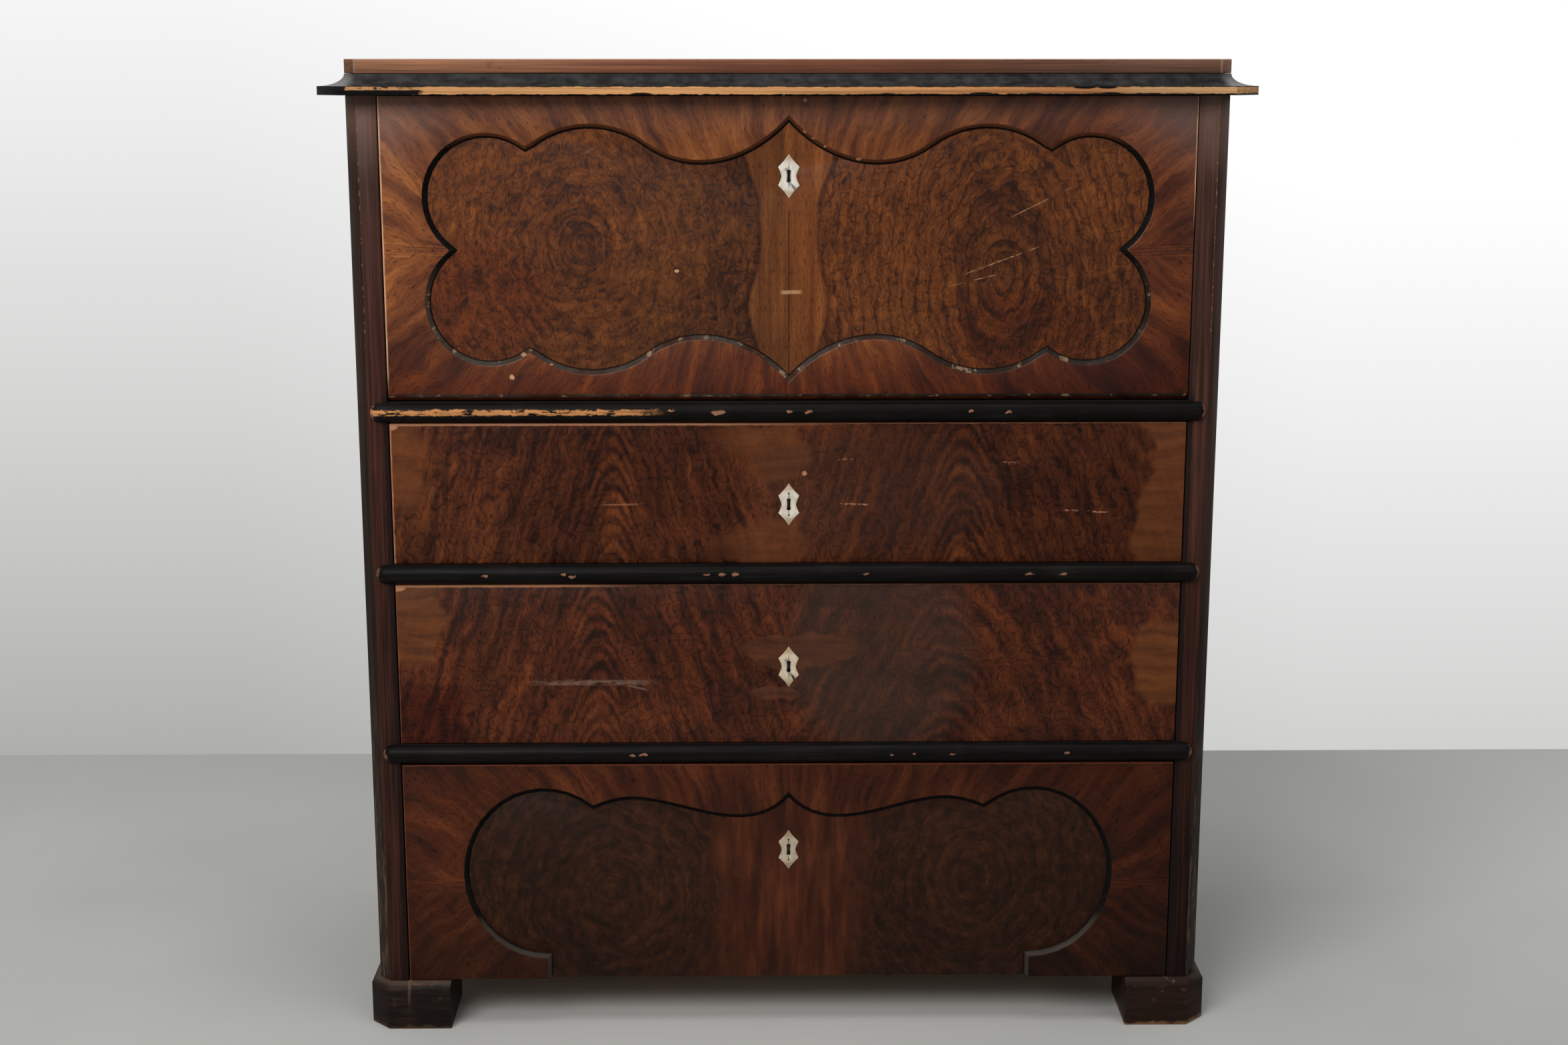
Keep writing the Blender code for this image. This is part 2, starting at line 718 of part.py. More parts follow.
# Pigeonholes behind the fall: a shelf halved into two dividers, with a letter drawer below
letter_near = front + letter_setback
letter_middle = (letter_near + rear_inside) / 2
shelf_low = floor_top + letter_height
shelf_high = shelf_low + letter_board
shelf = finish("letter_shelf", None, walnut, block(
    (fit - opening, letter_near, shelf_low), (opening - fit, rear_inside, shelf_high)))
dividers = pair("letter_divider", None, bare_wood, (letter_bay / 2, letter_near, floor_top + fit), (
    letter_bay / 2 + letter_board, rear_inside, top_level - fit))
for hand, divider in zip((-1, 1), dividers):
    combine(divider, cutter(divider.name + "_halving", block(
        (-opening, letter_near - overrun, shelf_low - fit), (opening, letter_middle + fit, shelf_high + fit))))
    edges = sorted((hand * (letter_bay / 2 - fit), hand * (letter_bay / 2 + letter_board + fit)))
    combine(shelf, cutter(divider.name + "_shelf_halving", block(
        (edges[0], letter_middle, shelf_low - overrun), (edges[1], back, shelf_high + overrun))))

tray_half = letter_bay / 2 - letter_gap
tray_low, tray_high = floor_top + fit, shelf_low - letter_gap
tray_rear = rear_inside - letter_rear_gap
letter_body = body_at("letter_drawer", (0, letter_near, tray_low))
tray = finish("letter_drawer", letter_body, walnut, block(
    (-tray_half, letter_near, tray_low), (tray_half, tray_rear, tray_high)))
combine(tray, cutter("letter_hollow", block(
    (letter_wall - tray_half, letter_near + letter_front, tray_low + letter_floor),
    (tray_half - letter_wall, tray_rear - letter_wall, tray_high + overrun))))
knob_profile = [(0, knob_length)]
knob_profile += [(knob_radius * out, knob_length * along) for out, along in knob_shares]
knob_profile += [(knob_radius * knob_neck_share, -letter_front / 2), (0, -letter_front / 2)]
knob = bmesh.new()
line = [knob.verts.new((across, 0, up)) for across, up in knob_profile]
for near_point, far_point in zip(line, line[1:]):
    knob.edges.new((near_point, far_point))
bmesh.ops.spin(knob, geom=knob.verts[:] + knob.edges[:], cent=(0, 0, 0), axis=(0, 0, 1),
               angle=2 * pi, steps=16, use_merge=True)
bmesh.ops.remove_doubles(knob, verts=knob.verts, dist=fit / 10)
stand = Matrix.Translation((0, letter_near, (tray_low + tray_high) / 2)) @ Matrix.Rotation(pi / 2, 4, "X")
bmesh.ops.transform(knob, matrix=stand, verts=knob.verts)
combine(tray, cutter("letter_knob", knob), "UNION")
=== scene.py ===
"""Looks of a walnut and ebonised chiffonier: a writing fall over three long drawers."""

import math
from functools import reduce

import bpy
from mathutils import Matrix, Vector


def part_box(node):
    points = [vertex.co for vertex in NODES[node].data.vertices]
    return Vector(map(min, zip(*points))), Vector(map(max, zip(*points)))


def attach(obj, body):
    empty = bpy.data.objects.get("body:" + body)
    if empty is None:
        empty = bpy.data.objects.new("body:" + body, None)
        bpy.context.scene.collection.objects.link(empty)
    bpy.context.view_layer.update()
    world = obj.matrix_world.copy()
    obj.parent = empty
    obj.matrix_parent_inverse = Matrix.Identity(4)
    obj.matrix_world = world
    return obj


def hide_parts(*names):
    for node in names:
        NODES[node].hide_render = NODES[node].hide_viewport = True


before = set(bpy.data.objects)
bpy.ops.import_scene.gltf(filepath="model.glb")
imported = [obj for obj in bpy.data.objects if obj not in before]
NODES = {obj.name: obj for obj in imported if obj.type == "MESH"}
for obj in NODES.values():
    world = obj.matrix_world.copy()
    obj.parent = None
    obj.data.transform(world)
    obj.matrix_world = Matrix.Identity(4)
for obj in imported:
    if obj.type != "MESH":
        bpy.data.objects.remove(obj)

bl_info = {
    "name": "Chiffonier",
    "version": (1, 0, 0),
    "blender": (4, 5, 0),
    "location": "View3D > Sidebar > Chiffonier",
    "description": "Veneers, mouldings, fittings and stage of a chiffonier with a writing fall",
    "category": "Object",
}

MM = 0.001
PLAIN = (1.0, 1.0, 1.0)


def shade(red, green, blue):
    """A colour given as it looks on a screen, from 0 to 255, turned into light values."""
    parts = []
    for level in (red, green, blue):
        level = level / 255
        low = level <= 0.04045
        parts.append(level / 12.92 if low else ((level + 0.055) / 1.055) ** 2.4)
    return tuple(parts)


def chosen(name):
    """A colour from the panel."""
    return tuple(getattr(bpy.context.scene.chiffonier_colours, name))


class Wire:
    """One socket of a material's nodes, which takes part in sums."""

    def __init__(self, tree, socket=None):
        self.tree = tree
        self.socket = socket

    @staticmethod
    def live(sockets, key):
        """A socket by its number, or by its name among those that are in use."""
        if isinstance(key, int):
            return sockets[key]
        return next(socket for socket in sockets if socket.name == key and socket.enabled)

    def node(self, kind, settings=None, inputs=None, output=0):
        """A node of any kind: its settings first, then the values or wires of its sockets."""
        made = self.tree.nodes.new(kind)
        for key, value in (settings or {}).items():
            if key == "stops":
                ramp = made.color_ramp
                while len(ramp.elements) < len(value):
                    ramp.elements.new(1)
                for element, (place, colour) in zip(ramp.elements, value):
                    element.position = place
                    element.color = (*colour, 1)
            else:
                setattr(made, key, value)
        for key, value in (inputs or {}).items():
            socket = self.live(made.inputs, key)
            if isinstance(value, Wire):
                self.tree.links.new(value.socket, socket)
            elif isinstance(value, tuple) and len(value) < len(socket.default_value):
                socket.default_value = (*value, 1)
            else:
                socket.default_value = value
        return Wire(self.tree, self.live(made.outputs, output))

    def sum(self, operation, *others):
        """A sum of this value and others."""
        return self.node("ShaderNodeMath", {"operation": operation},
                         dict(enumerate((self, *others))))

    def __add__(self, other):
        return self.sum("ADD", other)

    def __sub__(self, other):
        return self.sum("SUBTRACT", other)

    def __rsub__(self, other):
        return self.node("ShaderNodeMath", {"operation": "SUBTRACT"}, {0: other, 1: self})

    def __mul__(self, other):
        return self.sum("MULTIPLY", other)

    __radd__, __rmul__ = __add__, __mul__

    def __truediv__(self, other):
        return self.sum("DIVIDE", other)

    def __pow__(self, other):
        return self.sum("POWER", other)

    def __abs__(self):
        return self.sum("ABSOLUTE")

    def least(self, other):
        return self.sum("MINIMUM", other)

    def most(self, other):
        return self.sum("MAXIMUM", other)

    def step(self, low, high):
        """0 below low and 1 above high, with a soft rise between, or the reverse."""
        return self.node("ShaderNodeMapRange", {"interpolation_type": "SMOOTHSTEP"},
                         {"Value": self, "From Min": low, "From Max": high})

    def ramp(self, stops):
        """A row of colours that this value picks from."""
        return self.node("ShaderNodeValToRGB", {"stops": stops}, {"Fac": self})

    def toned(self, *stops):
        """A ramp whose stops are each a place and a colour as it looks on a screen."""
        return self.ramp([(place, shade(*colour)) for place, *colour in stops])

    def graded(self, name, *stops):
        """A ramp whose stops are each a place and a share of a colour from the panel."""
        return self.ramp([(place, tuple(min(1.0, part * share) for part in chosen(name)))
                          for place, share in stops])

    def mix(self, first, second):
        """The first colour where this value is 0 and the second where it is 1."""
        return self.node("ShaderNodeMix", {"data_type": "RGBA"},
                         {"Factor": self, "A": first, "B": second}, "Result")

    def tint(self, other):
        """This colour times another."""
        return self.node("ShaderNodeMix", {"data_type": "RGBA", "blend_type": "MULTIPLY"},
                         {"Factor": 1.0, "A": self, "B": other}, "Result")

    def covered(self, *layers):
        """This colour with others over it, each a mask and a tone."""
        return reduce(lambda colour, layer: layer[0].mix(colour, layer[1]), layers, self)

    def glazed(self, *layers):
        """This colour times others, each a mask and a tone."""
        return reduce(lambda colour, layer: colour.tint(layer[0].mix(PLAIN, layer[1])), layers,
                      self)

    def parts(self):
        """The three parts of this place."""
        made = self.node("ShaderNodeSeparateXYZ", None, {0: self}).socket.node
        return tuple(Wire(self.tree, made.outputs[part]) for part in ("X", "Y", "Z"))

    def front(self):
        """How far across and how far up this place is."""
        x, _, z = self.parts()
        return x, z

    def at(self, x, y, z=0.0):
        """A place put together from three values."""
        return self.node("ShaderNodeCombineXYZ", None, {"X": x, "Y": y, "Z": z})

    def noise(self, scale, detail=3.0, roughness=0.55):
        """Cloudy noise at this place."""
        return self.node("ShaderNodeTexNoise", None, {"Vector": self, "Scale": scale,
                         "Detail": detail, "Roughness": roughness})

    def streaks(self, x, y, z=0.0, detail=3.0, roughness=0.6):
        """Noise at a place put together from three values, each divided by its own length."""
        return self.at(x, y, z).noise(1.0, detail, roughness)


def lines(field, x, z, width, length, seed, detail):
    """Growth lines that follow a field's contours, broken up along their length."""
    return field.streaks(field / width + seed, x / length, z / length, detail)


def curls(place, size, turns, seed):
    """The fine dark curling lines of a burr: 1 on a line and 0 between lines."""
    x, z = place.front()
    swell = place.streaks(x / size + seed, seed, z / size, 1.5, 0.5)
    return (swell * turns).sum("SINE").step(0.62, 0.98)


def warp(place, amount, size, seed=0.0):
    """A slow wander of the grain, in metres."""
    shifted = place.node("ShaderNodeVectorMath", {"operation": "ADD"},
                         {0: place, 1: (seed, seed, seed)})
    return (shifted.noise(1 / size, 2.0) - 0.5) * amount


def most(*masks):
    """The largest of several masks."""
    return reduce(Wire.most, masks)


def spots(x, z, width, height, *places):
    """1 at each named place and 0 away from it; every place is x, z and its size share."""
    return most(*[
        (((x - across) / (width * share)) ** 2 + ((z - up) / (height * share)) ** 2).step(1.4, 0.6)
        for across, up, share in places])


def dash(x, z, start, end, half, fade=0.004):
    """1 on a straight scratch between two points and 0 away from it."""
    run, rise = end[0] - start[0], end[1] - start[1]
    length = math.hypot(run, rise)
    run, rise = run / length, rise / length
    along = (x - start[0]) * run + (z - start[1]) * rise
    off = abs((x - start[0]) * -rise + (z - start[1]) * run)
    return (off.step(half, half * 0.3) * along.step(-fade, fade)
            * along.step(length + fade, length - fade))


def dashes(x, z, fade, *marks):
    """Several scratches, each its start, its end, half its width in millimetres and how much
    it shows."""
    return most(*[dash(x, z, start, end, half * MM, fade) * shown
                  for start, end, half, shown in marks])


def edges(node):
    """The left, right, lower and upper edges of a CAD node, seen from the front."""
    low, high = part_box(node)
    return low.x, high.x, low.z, high.z


def midway(node):
    """The height of a CAD node's middle."""
    low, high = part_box(node)
    return (low.z + high.z) / 2


def halves(side, left, right):
    """The left value where side is 0 and the right one where it is 1."""
    return left * (1 - side) + right * side


def porous(place, colour, across, along, share, dark):
    """A colour with the fine open pores of walnut in it, as thin dark dashes."""
    wood = place.streaks(across / 0.0007, along / 0.012, 0.0, 1.0, 0.5)
    return colour.tint(wood.step(share, share + 0.08).mix(dark, PLAIN))


# How strongly each kind of finish reflects
FALL_POLISH = 0.21
DRAWER_POLISH = 0.11
STAIN_POLISH = 0.05
WOOD_POLISH = 0.15
FLOOR_POLISH = 0.2
PINE_POLISH = 0.25
INSIDE_POLISH = 0.3
BONE_POLISH = 0.4
METAL_POLISH = 0.5


def worked(place, colour, rough, height, depth, strength=0.5, gloss=STAIN_POLISH, metal=0.0):
    """The inputs of a finish, whose bump is so many metres deep where its height goes from 0
    to 1."""
    bump = place.node("ShaderNodeBump", None,
                      {"Strength": strength, "Distance": depth, "Height": height}, "Normal")
    return {"Base Color": colour, "Roughness": rough, "Specular IOR Level": gloss,
            "Metallic": metal, "Normal": bump}


def polished(place, colour, level, dull, gloss=DRAWER_POLISH):
    """The inputs of polished veneer: its colour, duller and lower where its grain is dark."""
    return worked(place, colour.tint(chosen("veneer")), (1 - level) * 0.22 + dull, level,
                  0.25 * MM, 0.35, gloss)


# Heights that the fanned veneers are mirrored about
FALL_LEVEL = 1.04125
BOTTOM_LEVEL = 0.200
FAN_ACROSS = 0.05
FAN_UP = 0.35


def fanned_veneer(place, middle, stops, seed):
    """Straight walnut laid round a field, its grain fanning out to the edges, the same on
    all four sides."""
    x, z = place.front()
    across, up = abs(x) + FAN_ACROSS, abs(z - middle) + FAN_UP
    bend = warp(place, 0.07, 0.10, seed) + warp(place, 0.018, 0.030, seed)
    angle = up.sum("ARCTAN2", across) + bend
    reach = (up ** 2 + across ** 2) ** 0.5
    turn = z.step(middle - 0.01, middle + 0.01) * 7 + x.step(-0.01, 0.01) * 3 + seed
    flame = place.streaks(angle / 0.030 + turn, reach / 0.13, turn, 2.0, 0.55)
    hair = place.streaks(angle / 0.0065 + turn, reach / 0.06, turn, 3.0, 0.55)
    level = flame * 0.60 + hair * 0.16 + place.noise(10.0, 2.0) * 0.36 + 0.02
    colour = porous(place, level.toned(*stops), angle * 0.55, reach, 0.34, shade(150, 130, 120))
    return colour, level, x, z


def fall_surround_veneer(place):
    """Golden brown walnut round the fall's field, paler at two edges, redder and darker to the
    right and darker towards its foot, partly as painted shade, with a painted sheen along its top
    and at its upper corners.
    """
    stops = (0.42, 66, 31, 17), (0.53, 96, 50, 26), (0.62, 120, 67, 34), (0.74, 150, 90, 46)
    colour, level, x, z = fanned_veneer(place, FALL_LEVEL, stops, 2.0)
    left, right, _, _ = edges("fall_surround")
    # The haze is a painted sheen along the top and at the upper corners.
    haze = z.step(1.165, 1.225) * 0.10 + abs(x).step(0.38, 0.50) * z.step(1.12, 1.215) * 0.20
    ragged = warp(place, 1.6 * MM, 0.012)
    pale = (x + ragged).step(left + 2.8 * MM, left + 0.6 * MM) * z.step(0.86, 0.9)
    worn = (x - ragged).step(right - 2.0 * MM, right - 0.4 * MM) * z.step(1.06, 1.12)
    chips = spots(x + warp(place, 4 * MM, 0.006), z + warp(place, 4 * MM, 0.005, 2.0),
                  3 * MM, 3 * MM, (-0.3505, 0.882, 1.0), (0.02, 1.2265, 0.7))
    # Darker and redder to the right and darker towards the foot: partly painted shade.
    colour = colour.glazed((x.step(-0.1, 0.45), shade(206, 188, 184)),
                           (z.step(0.97, 0.87), shade(190, 160, 140)))
    colour = colour.covered((haze, shade(150, 126, 118)),
                            (most(pale, worn, chips * 0.8), shade(196, 150, 116)))
    return polished(place, colour, level, 0.28, FALL_POLISH)


def burl(place, x, z, middle, radii, seed):
    """Burr walnut in oval rings: how far each place is from their middle, its growth lines and
    its broken golden dapples."""
    oval = (((x - middle[0]) / radii[0]) ** 2 + ((z - middle[1]) / radii[1]) ** 2) ** 0.5
    field = oval + warp(place, 0.030, 0.045, seed) + warp(place, 0.010, 0.013, seed + 3.1)
    near = oval.step(0.090, 0.015)
    clean = oval + warp(place, 0.016, 0.028, seed)
    whole = lines(field * (1 - near) + clean * near, x, z, 0.0062, 0.25, seed, 3.0)
    broken = lines(field, x, z, 0.0062, 0.032, seed + 4.0, 3.0)
    dapple = lines(field, x, z, 0.0200, 0.016, seed + 9.0, 2.0)
    return field, whole * (0.22 + near * 0.62) + broken * (0.78 - near * 0.62), dapple


BURL_TONES = ((0.34, 46, 22, 13), (0.44, 76, 39, 20), (0.52, 98, 53, 27), (0.60, 118, 66, 32),
              (0.72, 146, 86, 41))


def left_burr(place, x, z):
    """The figure left of the strip: rings in a burr, which turns upright towards the strip."""
    field, grown, dapple = burl(place, x, z, (-0.262, 1.045), (1.0, 1.25), 1.0)
    streaks = place.streaks(x / 0.007, 0.0, z / 0.07)
    upright = x.step(-0.15, -0.09)
    worms = curls(place, 0.024, 48.0, 3.0)
    rings = (field * 420 + grown * 6.0).sum("SINE").step(0.55, 0.97)
    return (0.11 + grown * (0.48 - upright * 0.10) + dapple * 0.34 - field.step(0.05, 0.010) * 0.05
            - worms * (0.085 + x.step(-0.16, -0.06) * 0.02) - field.step(0.075, 0.03) * 0.03
            - rings * field.step(0.14, 0.03) * 0.06 + (streaks - 0.42) * upright * 0.22)


def right_burr(place, x, z):
    """The figure right of the strip: clearer contours, and one dark band round their middle."""
    field, grown, dapple = burl(place, x, z, (0.272, 1.005), (0.8, 1.45), 5.0)
    band = abs(field - 0.066 + warp(place, 0.008, 0.03, 1.0)).step(0.013, 0.003)
    contours = (field * 300 + grown * 7.0).sum("SINE").step(0.62, 0.97)
    return (0.13 + grown * 0.47 + dapple * 0.28 - contours * 0.08 - band * 0.08
            - curls(place, 0.030, 60.0, 8.0) * 0.085 + 0.01)


def vase_strip(place, x, z):
    """The plain vase-shaped strip: where it is, its colour, and the shadow beside it."""
    waist = z.step(1.095, 1.160) * 0.018 + abs(z - 0.972).step(0.070, 0.0) * 0.014 + 0.035
    edge = abs(x + warp(place, 0.006, 0.05, 2.0)) - waist
    strip = edge.step(0.0035, -0.0025) * (1 - z.step(0.965, 0.915) * 0.35)
    plain = place.streaks(x / 0.011, z / 0.18, 3.0, 4.0).toned(
        (0.30, 92, 49, 25), (0.52, 116, 65, 32), (0.74, 140, 84, 42))
    return strip, plain, edge.step(0.012, 0.0) * (1 - strip) * 0.6


def fall_field_veneer(place):
    """The fall's field: a burr on each side of a plain strip, with its scratches."""
    x, z = place.front()
    side = (x + warp(place, 0.006, 0.03)).step(-0.002, 0.002)
    level = halves(side, left_burr(place, x, z), right_burr(place, x, z))
    level = level + (place.noise(7.0, 2.0) - 0.5) * 0.22
    strip, plain, shadow = vase_strip(place, x, z)
    joint = abs(x).step(0.0012, 0.0003) * z.step(1.10, 1.08)
    red = spots(x, z, 0.1, 0.07, (-0.40, 0.975, 1.0), (0.30, 0.93, 0.9)) * 0.6
    brown = x.step(-0.30, -0.12) * x.step(0.0, -0.01)
    colour = level.toned(*BURL_TONES).glazed((shadow, shade(150, 118, 104)))
    colour = colour.covered((strip, plain), (joint, shade(58, 32, 20)))
    colour = colour.glazed((red, shade(235, 200, 192)))
    colour = colour.tint(brown.mix(shade(246, 240, 218), shade(222, 222, 206)))
    patchy = place.streaks(x / 0.012, 4.0, z / 0.012).step(0.40, 0.62)
    scratches = dashes(x, z, 0.015, ((0.225, 1.012), (0.315, 1.045), 1.0, 1.0),
                       ((0.285, 1.085), (0.352, 1.118), 0.9, 1.0),
                       ((0.200, 0.995), (0.262, 1.010), 0.9, 1.0)) * patchy * 0.5
    scratches = most(scratches, dash(x, z, (-0.009, 0.988), (0.015, 0.9885), 3.4 * MM) * 0.5,
                     spots(x, z, 3 * MM, 2 * MM, (-0.141, 1.015, 1.0)) * 0.7)
    colour = colour.covered((scratches, shade(214, 172, 122)))
    colour = porous(place, colour, x, z, 0.33, shade(160, 140, 128))
    return polished(place, colour, level, 0.27, FALL_POLISH)


def arches(place, x, z, middle, lean, crown, seed):
    """Nested inverted U lines, as where a crotch is sliced, and their broken streaks."""
    away = x - middle
    arch = z + (away * away + crown ** 2) ** 0.5 * lean
    field = arch + warp(place, 0.075, 0.06, seed) + warp(place, 0.030, 0.020, seed + 2.3)
    field = field + warp(place, 0.010, 0.007, seed + 4.1)
    whole = lines(field, x, z, 0.034, 0.40, seed, 2.0)
    broken = lines(field, x, z, 0.024, 0.060, seed + 5.0, 2.0)
    streak = lines(field, x, z, 0.045, 0.030, seed + 8.0, 1.0)
    spine = abs(away + warp(place, 0.03, 0.05, seed)).step(0.045, 0.012)
    nests = ((arch + warp(place, 0.016, 0.02, seed)) / 0.0036).sum("SINE")
    return whole * 0.48 + broken * 0.52 + spine * nests * 0.11, streak


def crotch_drawer(place, stops, left, right, seed):
    """A drawer front veneered in two mirrored leaves of crotch walnut."""
    x, z = place.front()
    left_lines, left_streaks = arches(place, x, z, *left, seed)
    right_lines, right_streaks = arches(place, x, z, *right, seed + 11.0)
    side = (x + 0.003).step(-0.004, 0.004)
    grown = halves(side, left_lines, right_lines)
    streak = halves(side, left_streaks, right_streaks)
    worms = curls(place, 0.034, 56.0, seed)
    level = (grown * 0.62 + streak * 0.26 + (place.noise(8.0, 2.0) - 0.5) * 0.24
             - worms * 0.085 + 0.07)
    colour = porous(place, level.toned(*stops), x, z, 0.34, shade(150, 132, 124))
    return colour, level, x, z


def sapwood(place, mask, seed, light, dark):
    """A layer of plain lighter wood over a veneer, its grain lying level."""
    x, z = place.front()
    bend = warp(place, 0.02, 0.05, seed)
    plain = place.streaks(x / 0.09, (z + bend) / 0.012, seed, 3.0, 0.55)
    return mask, plain.ramp(((0.30, shade(*dark)), (0.70, shade(*light))))


UPPER_TONES = ((0.34, 36, 16, 10), (0.44, 60, 28, 15), (0.52, 80, 40, 21), (0.60, 98, 50, 24),
               (0.72, 126, 69, 32))
MIDDLE_TONES = ((0.34, 34, 16, 10), (0.44, 54, 25, 14), (0.52, 72, 34, 18), (0.60, 90, 44, 22),
                (0.72, 116, 61, 28))


def upper_drawer_veneer(place):
    """The upper drawer: arches left and right, pale wood at both ends and by the middle, a worn
    top edge and several scratches."""
    colour, level, x, z = crotch_drawer(place, UPPER_TONES, (-0.226, 3.3, 0.020),
                                        (0.223, 3.0, 0.026), 21.0)
    wavy = warp(place, 0.11, 0.06, 7.0)
    ends = (x + wavy).step(-0.455, -0.475) * (z + wavy * 0.6).step(0.70, 0.73)
    ends = ends.most((x + wavy).step(0.436, 0.452))
    middle = spots(x + wavy * 0.8, z + wavy * 0.5, 0.055, 0.028,
                   (-0.050, 0.797, 1.0), (-0.015, 0.775, 0.9), (-0.035, 0.660, 1.1))
    patch = most(ends, middle * 0.8) * 0.75
    dim = (x + wavy).step(-0.40, -0.30) * (x + wavy).step(-0.03, -0.10)
    dim = dim.most((x + wavy).step(0.0, 0.12)) * 0.9 * (1 - ends)
    haze = spots(x, z, 0.16, 0.08, (0.11, 0.735, 1.0)) * 0.3
    left, _, _, top = edges("upper_drawer_front")
    ragged = warp(place, 1.8 * MM, 0.010)
    pale = most((z + ragged).step(top - 3.9 * MM, top - 2.1 * MM) * x.step(0.12, -0.15),
                (z + ragged).step(top - 1.6 * MM, top - 0.5 * MM) * 0.7,
                (x + ragged * 1.2).step(left + 3.0 * MM, left + 0.8 * MM) * 0.8,
                spots(x, z, 9 * MM, 6 * MM, (left + 2 * MM, top - 2.5 * MM, 1.0)),
                dash(x, z, (-0.236, 0.7165), (-0.195, 0.7170), 1.6 * MM, 0.01) * 0.35)
    orange = dashes(x, z, 0.004, ((0.065, 0.7170), (0.100, 0.7160), 1.5, 1.0),
                    ((0.354, 0.7080), (0.372, 0.7075), 1.5, 1.0),
                    ((0.382, 0.7065), (0.411, 0.7050), 1.4, 1.0),
                    ((0.275, 0.7710), (0.300, 0.7700), 1.4, 0.6),
                    ((0.062, 0.7750), (0.082, 0.7760), 1.8, 0.5))
    dotted = place.streaks(x / 0.006, 2.0, z / 0.006, 2.0).step(0.44, 0.56)
    chip = spots(x, z, 3 * MM, 3 * MM, (0.02, 0.757, 1.0))
    colour = colour.covered(sapwood(place, patch, 4.0, (112, 63, 32), (80, 43, 24)))
    colour = colour.glazed((dim, shade(214, 208, 208)))
    colour = colour.covered((haze, shade(58, 38, 30)), (orange * dotted * 0.8, shade(176, 122, 92)),
                            (pale, shade(172, 118, 86)), (chip, shade(170, 120, 84)))
    return polished(place, colour, level, 0.28)


def middle_drawer_veneer(place):
    """The middle drawer, darker, with its own arches, a pale top corner and a long rub."""
    colour, level, x, z = crotch_drawer(place, MIDDLE_TONES, (-0.247, 3.1, 0.026),
                                        (0.205, 2.2, 0.050), 33.0)
    wavy = warp(place, 0.08, 0.06, 11.0)
    ends = (x + wavy).step(-0.445, -0.462) * (z + wavy * 0.3).step(0.495, 0.515)
    ends = ends.most((x + wavy).step(0.448, 0.458) * z.step(0.44, 0.455) * z.step(0.565, 0.55))
    middle = spots(x + wavy * 0.5, z + wavy * 0.4, 0.075, 0.024,
                   (0.015, 0.524, 1.0), (-0.020, 0.462, 0.45))
    red = (x + wavy).step(-0.40, -0.45) * z.step(0.49, 0.46) * 0.7
    haze = spots(x, z, 0.12, 0.14, (0.12, 0.52, 1.0)) * 0.5
    left, _, _, top = edges("middle_drawer_front")
    ragged = warp(place, 2.0 * MM, 0.010)
    pale = most((z + ragged).step(top - 4.3 * MM, top - 2.3 * MM) * x.step(-0.17, -0.30),
                (z + ragged).step(top - 1.9 * MM, top - 0.3 * MM) * 0.35,
                spots(x, z, 11 * MM, 5 * MM, (left + 2 * MM, top - 3.5 * MM, 1.0)),
                (x + ragged).step(left + 2.0 * MM, left + 0.2 * MM) * 0.3)
    patchy = place.streaks(x / 0.014, 4.0, z / 0.004).step(0.36, 0.56)
    rub = dash(x, z, (-0.3265, 0.4795), (-0.185, 0.4800), 5.0 * MM, 0.03) * patchy * 0.32
    rub = rub.most(dash(x, z, (-0.21, 0.476), (-0.186, 0.470), 2.0 * MM) * 0.3)
    colour = colour.covered(sapwood(place, ends * 0.75, 9.0, (112, 64, 31), (72, 39, 22)))
    colour = colour.glazed((red, shade(200, 138, 128))).covered(
        (haze, shade(52, 42, 36)),
        sapwood(place, middle.step(0.2, 0.7) * 0.6, 12.0, (96, 56, 36), (60, 34, 24)),
        (pale, shade(164, 112, 78)), (rub, shade(150, 124, 106)))
    return polished(place, colour, level, 0.30)


def bottom_surround_veneer(place):
    """Red-brown walnut round the bottom drawer's field, darker towards its foot and to the right,
    partly as painted shade.
    """
    stops = (0.36, 32, 14, 8), (0.50, 52, 23, 12), (0.62, 72, 33, 16), (0.76, 96, 48, 24)
    colour, level, x, z = fanned_veneer(place, BOTTOM_LEVEL, stops, 41.0)
    left, _, _, top = edges("bottom_drawer_surround")
    ragged = warp(place, 1.6 * MM, 0.010)
    pale = most((z + ragged).step(top - 2.5 * MM, top - 0.4 * MM) * 0.6,
                (x + ragged).step(left + 2.0 * MM, left + 0.4 * MM) * 0.4)
    # Darker towards the foot and to the right: partly painted shade.
    foot = (z + warp(place, 0.03, 0.06)).step(0.22, 0.085)
    colour = colour.glazed((x.step(-0.1, 0.5), shade(208, 204, 200)), (foot, shade(196, 204, 196)))
    return polished(place, colour.covered((pale, shade(132, 70, 46))), level, 0.32)


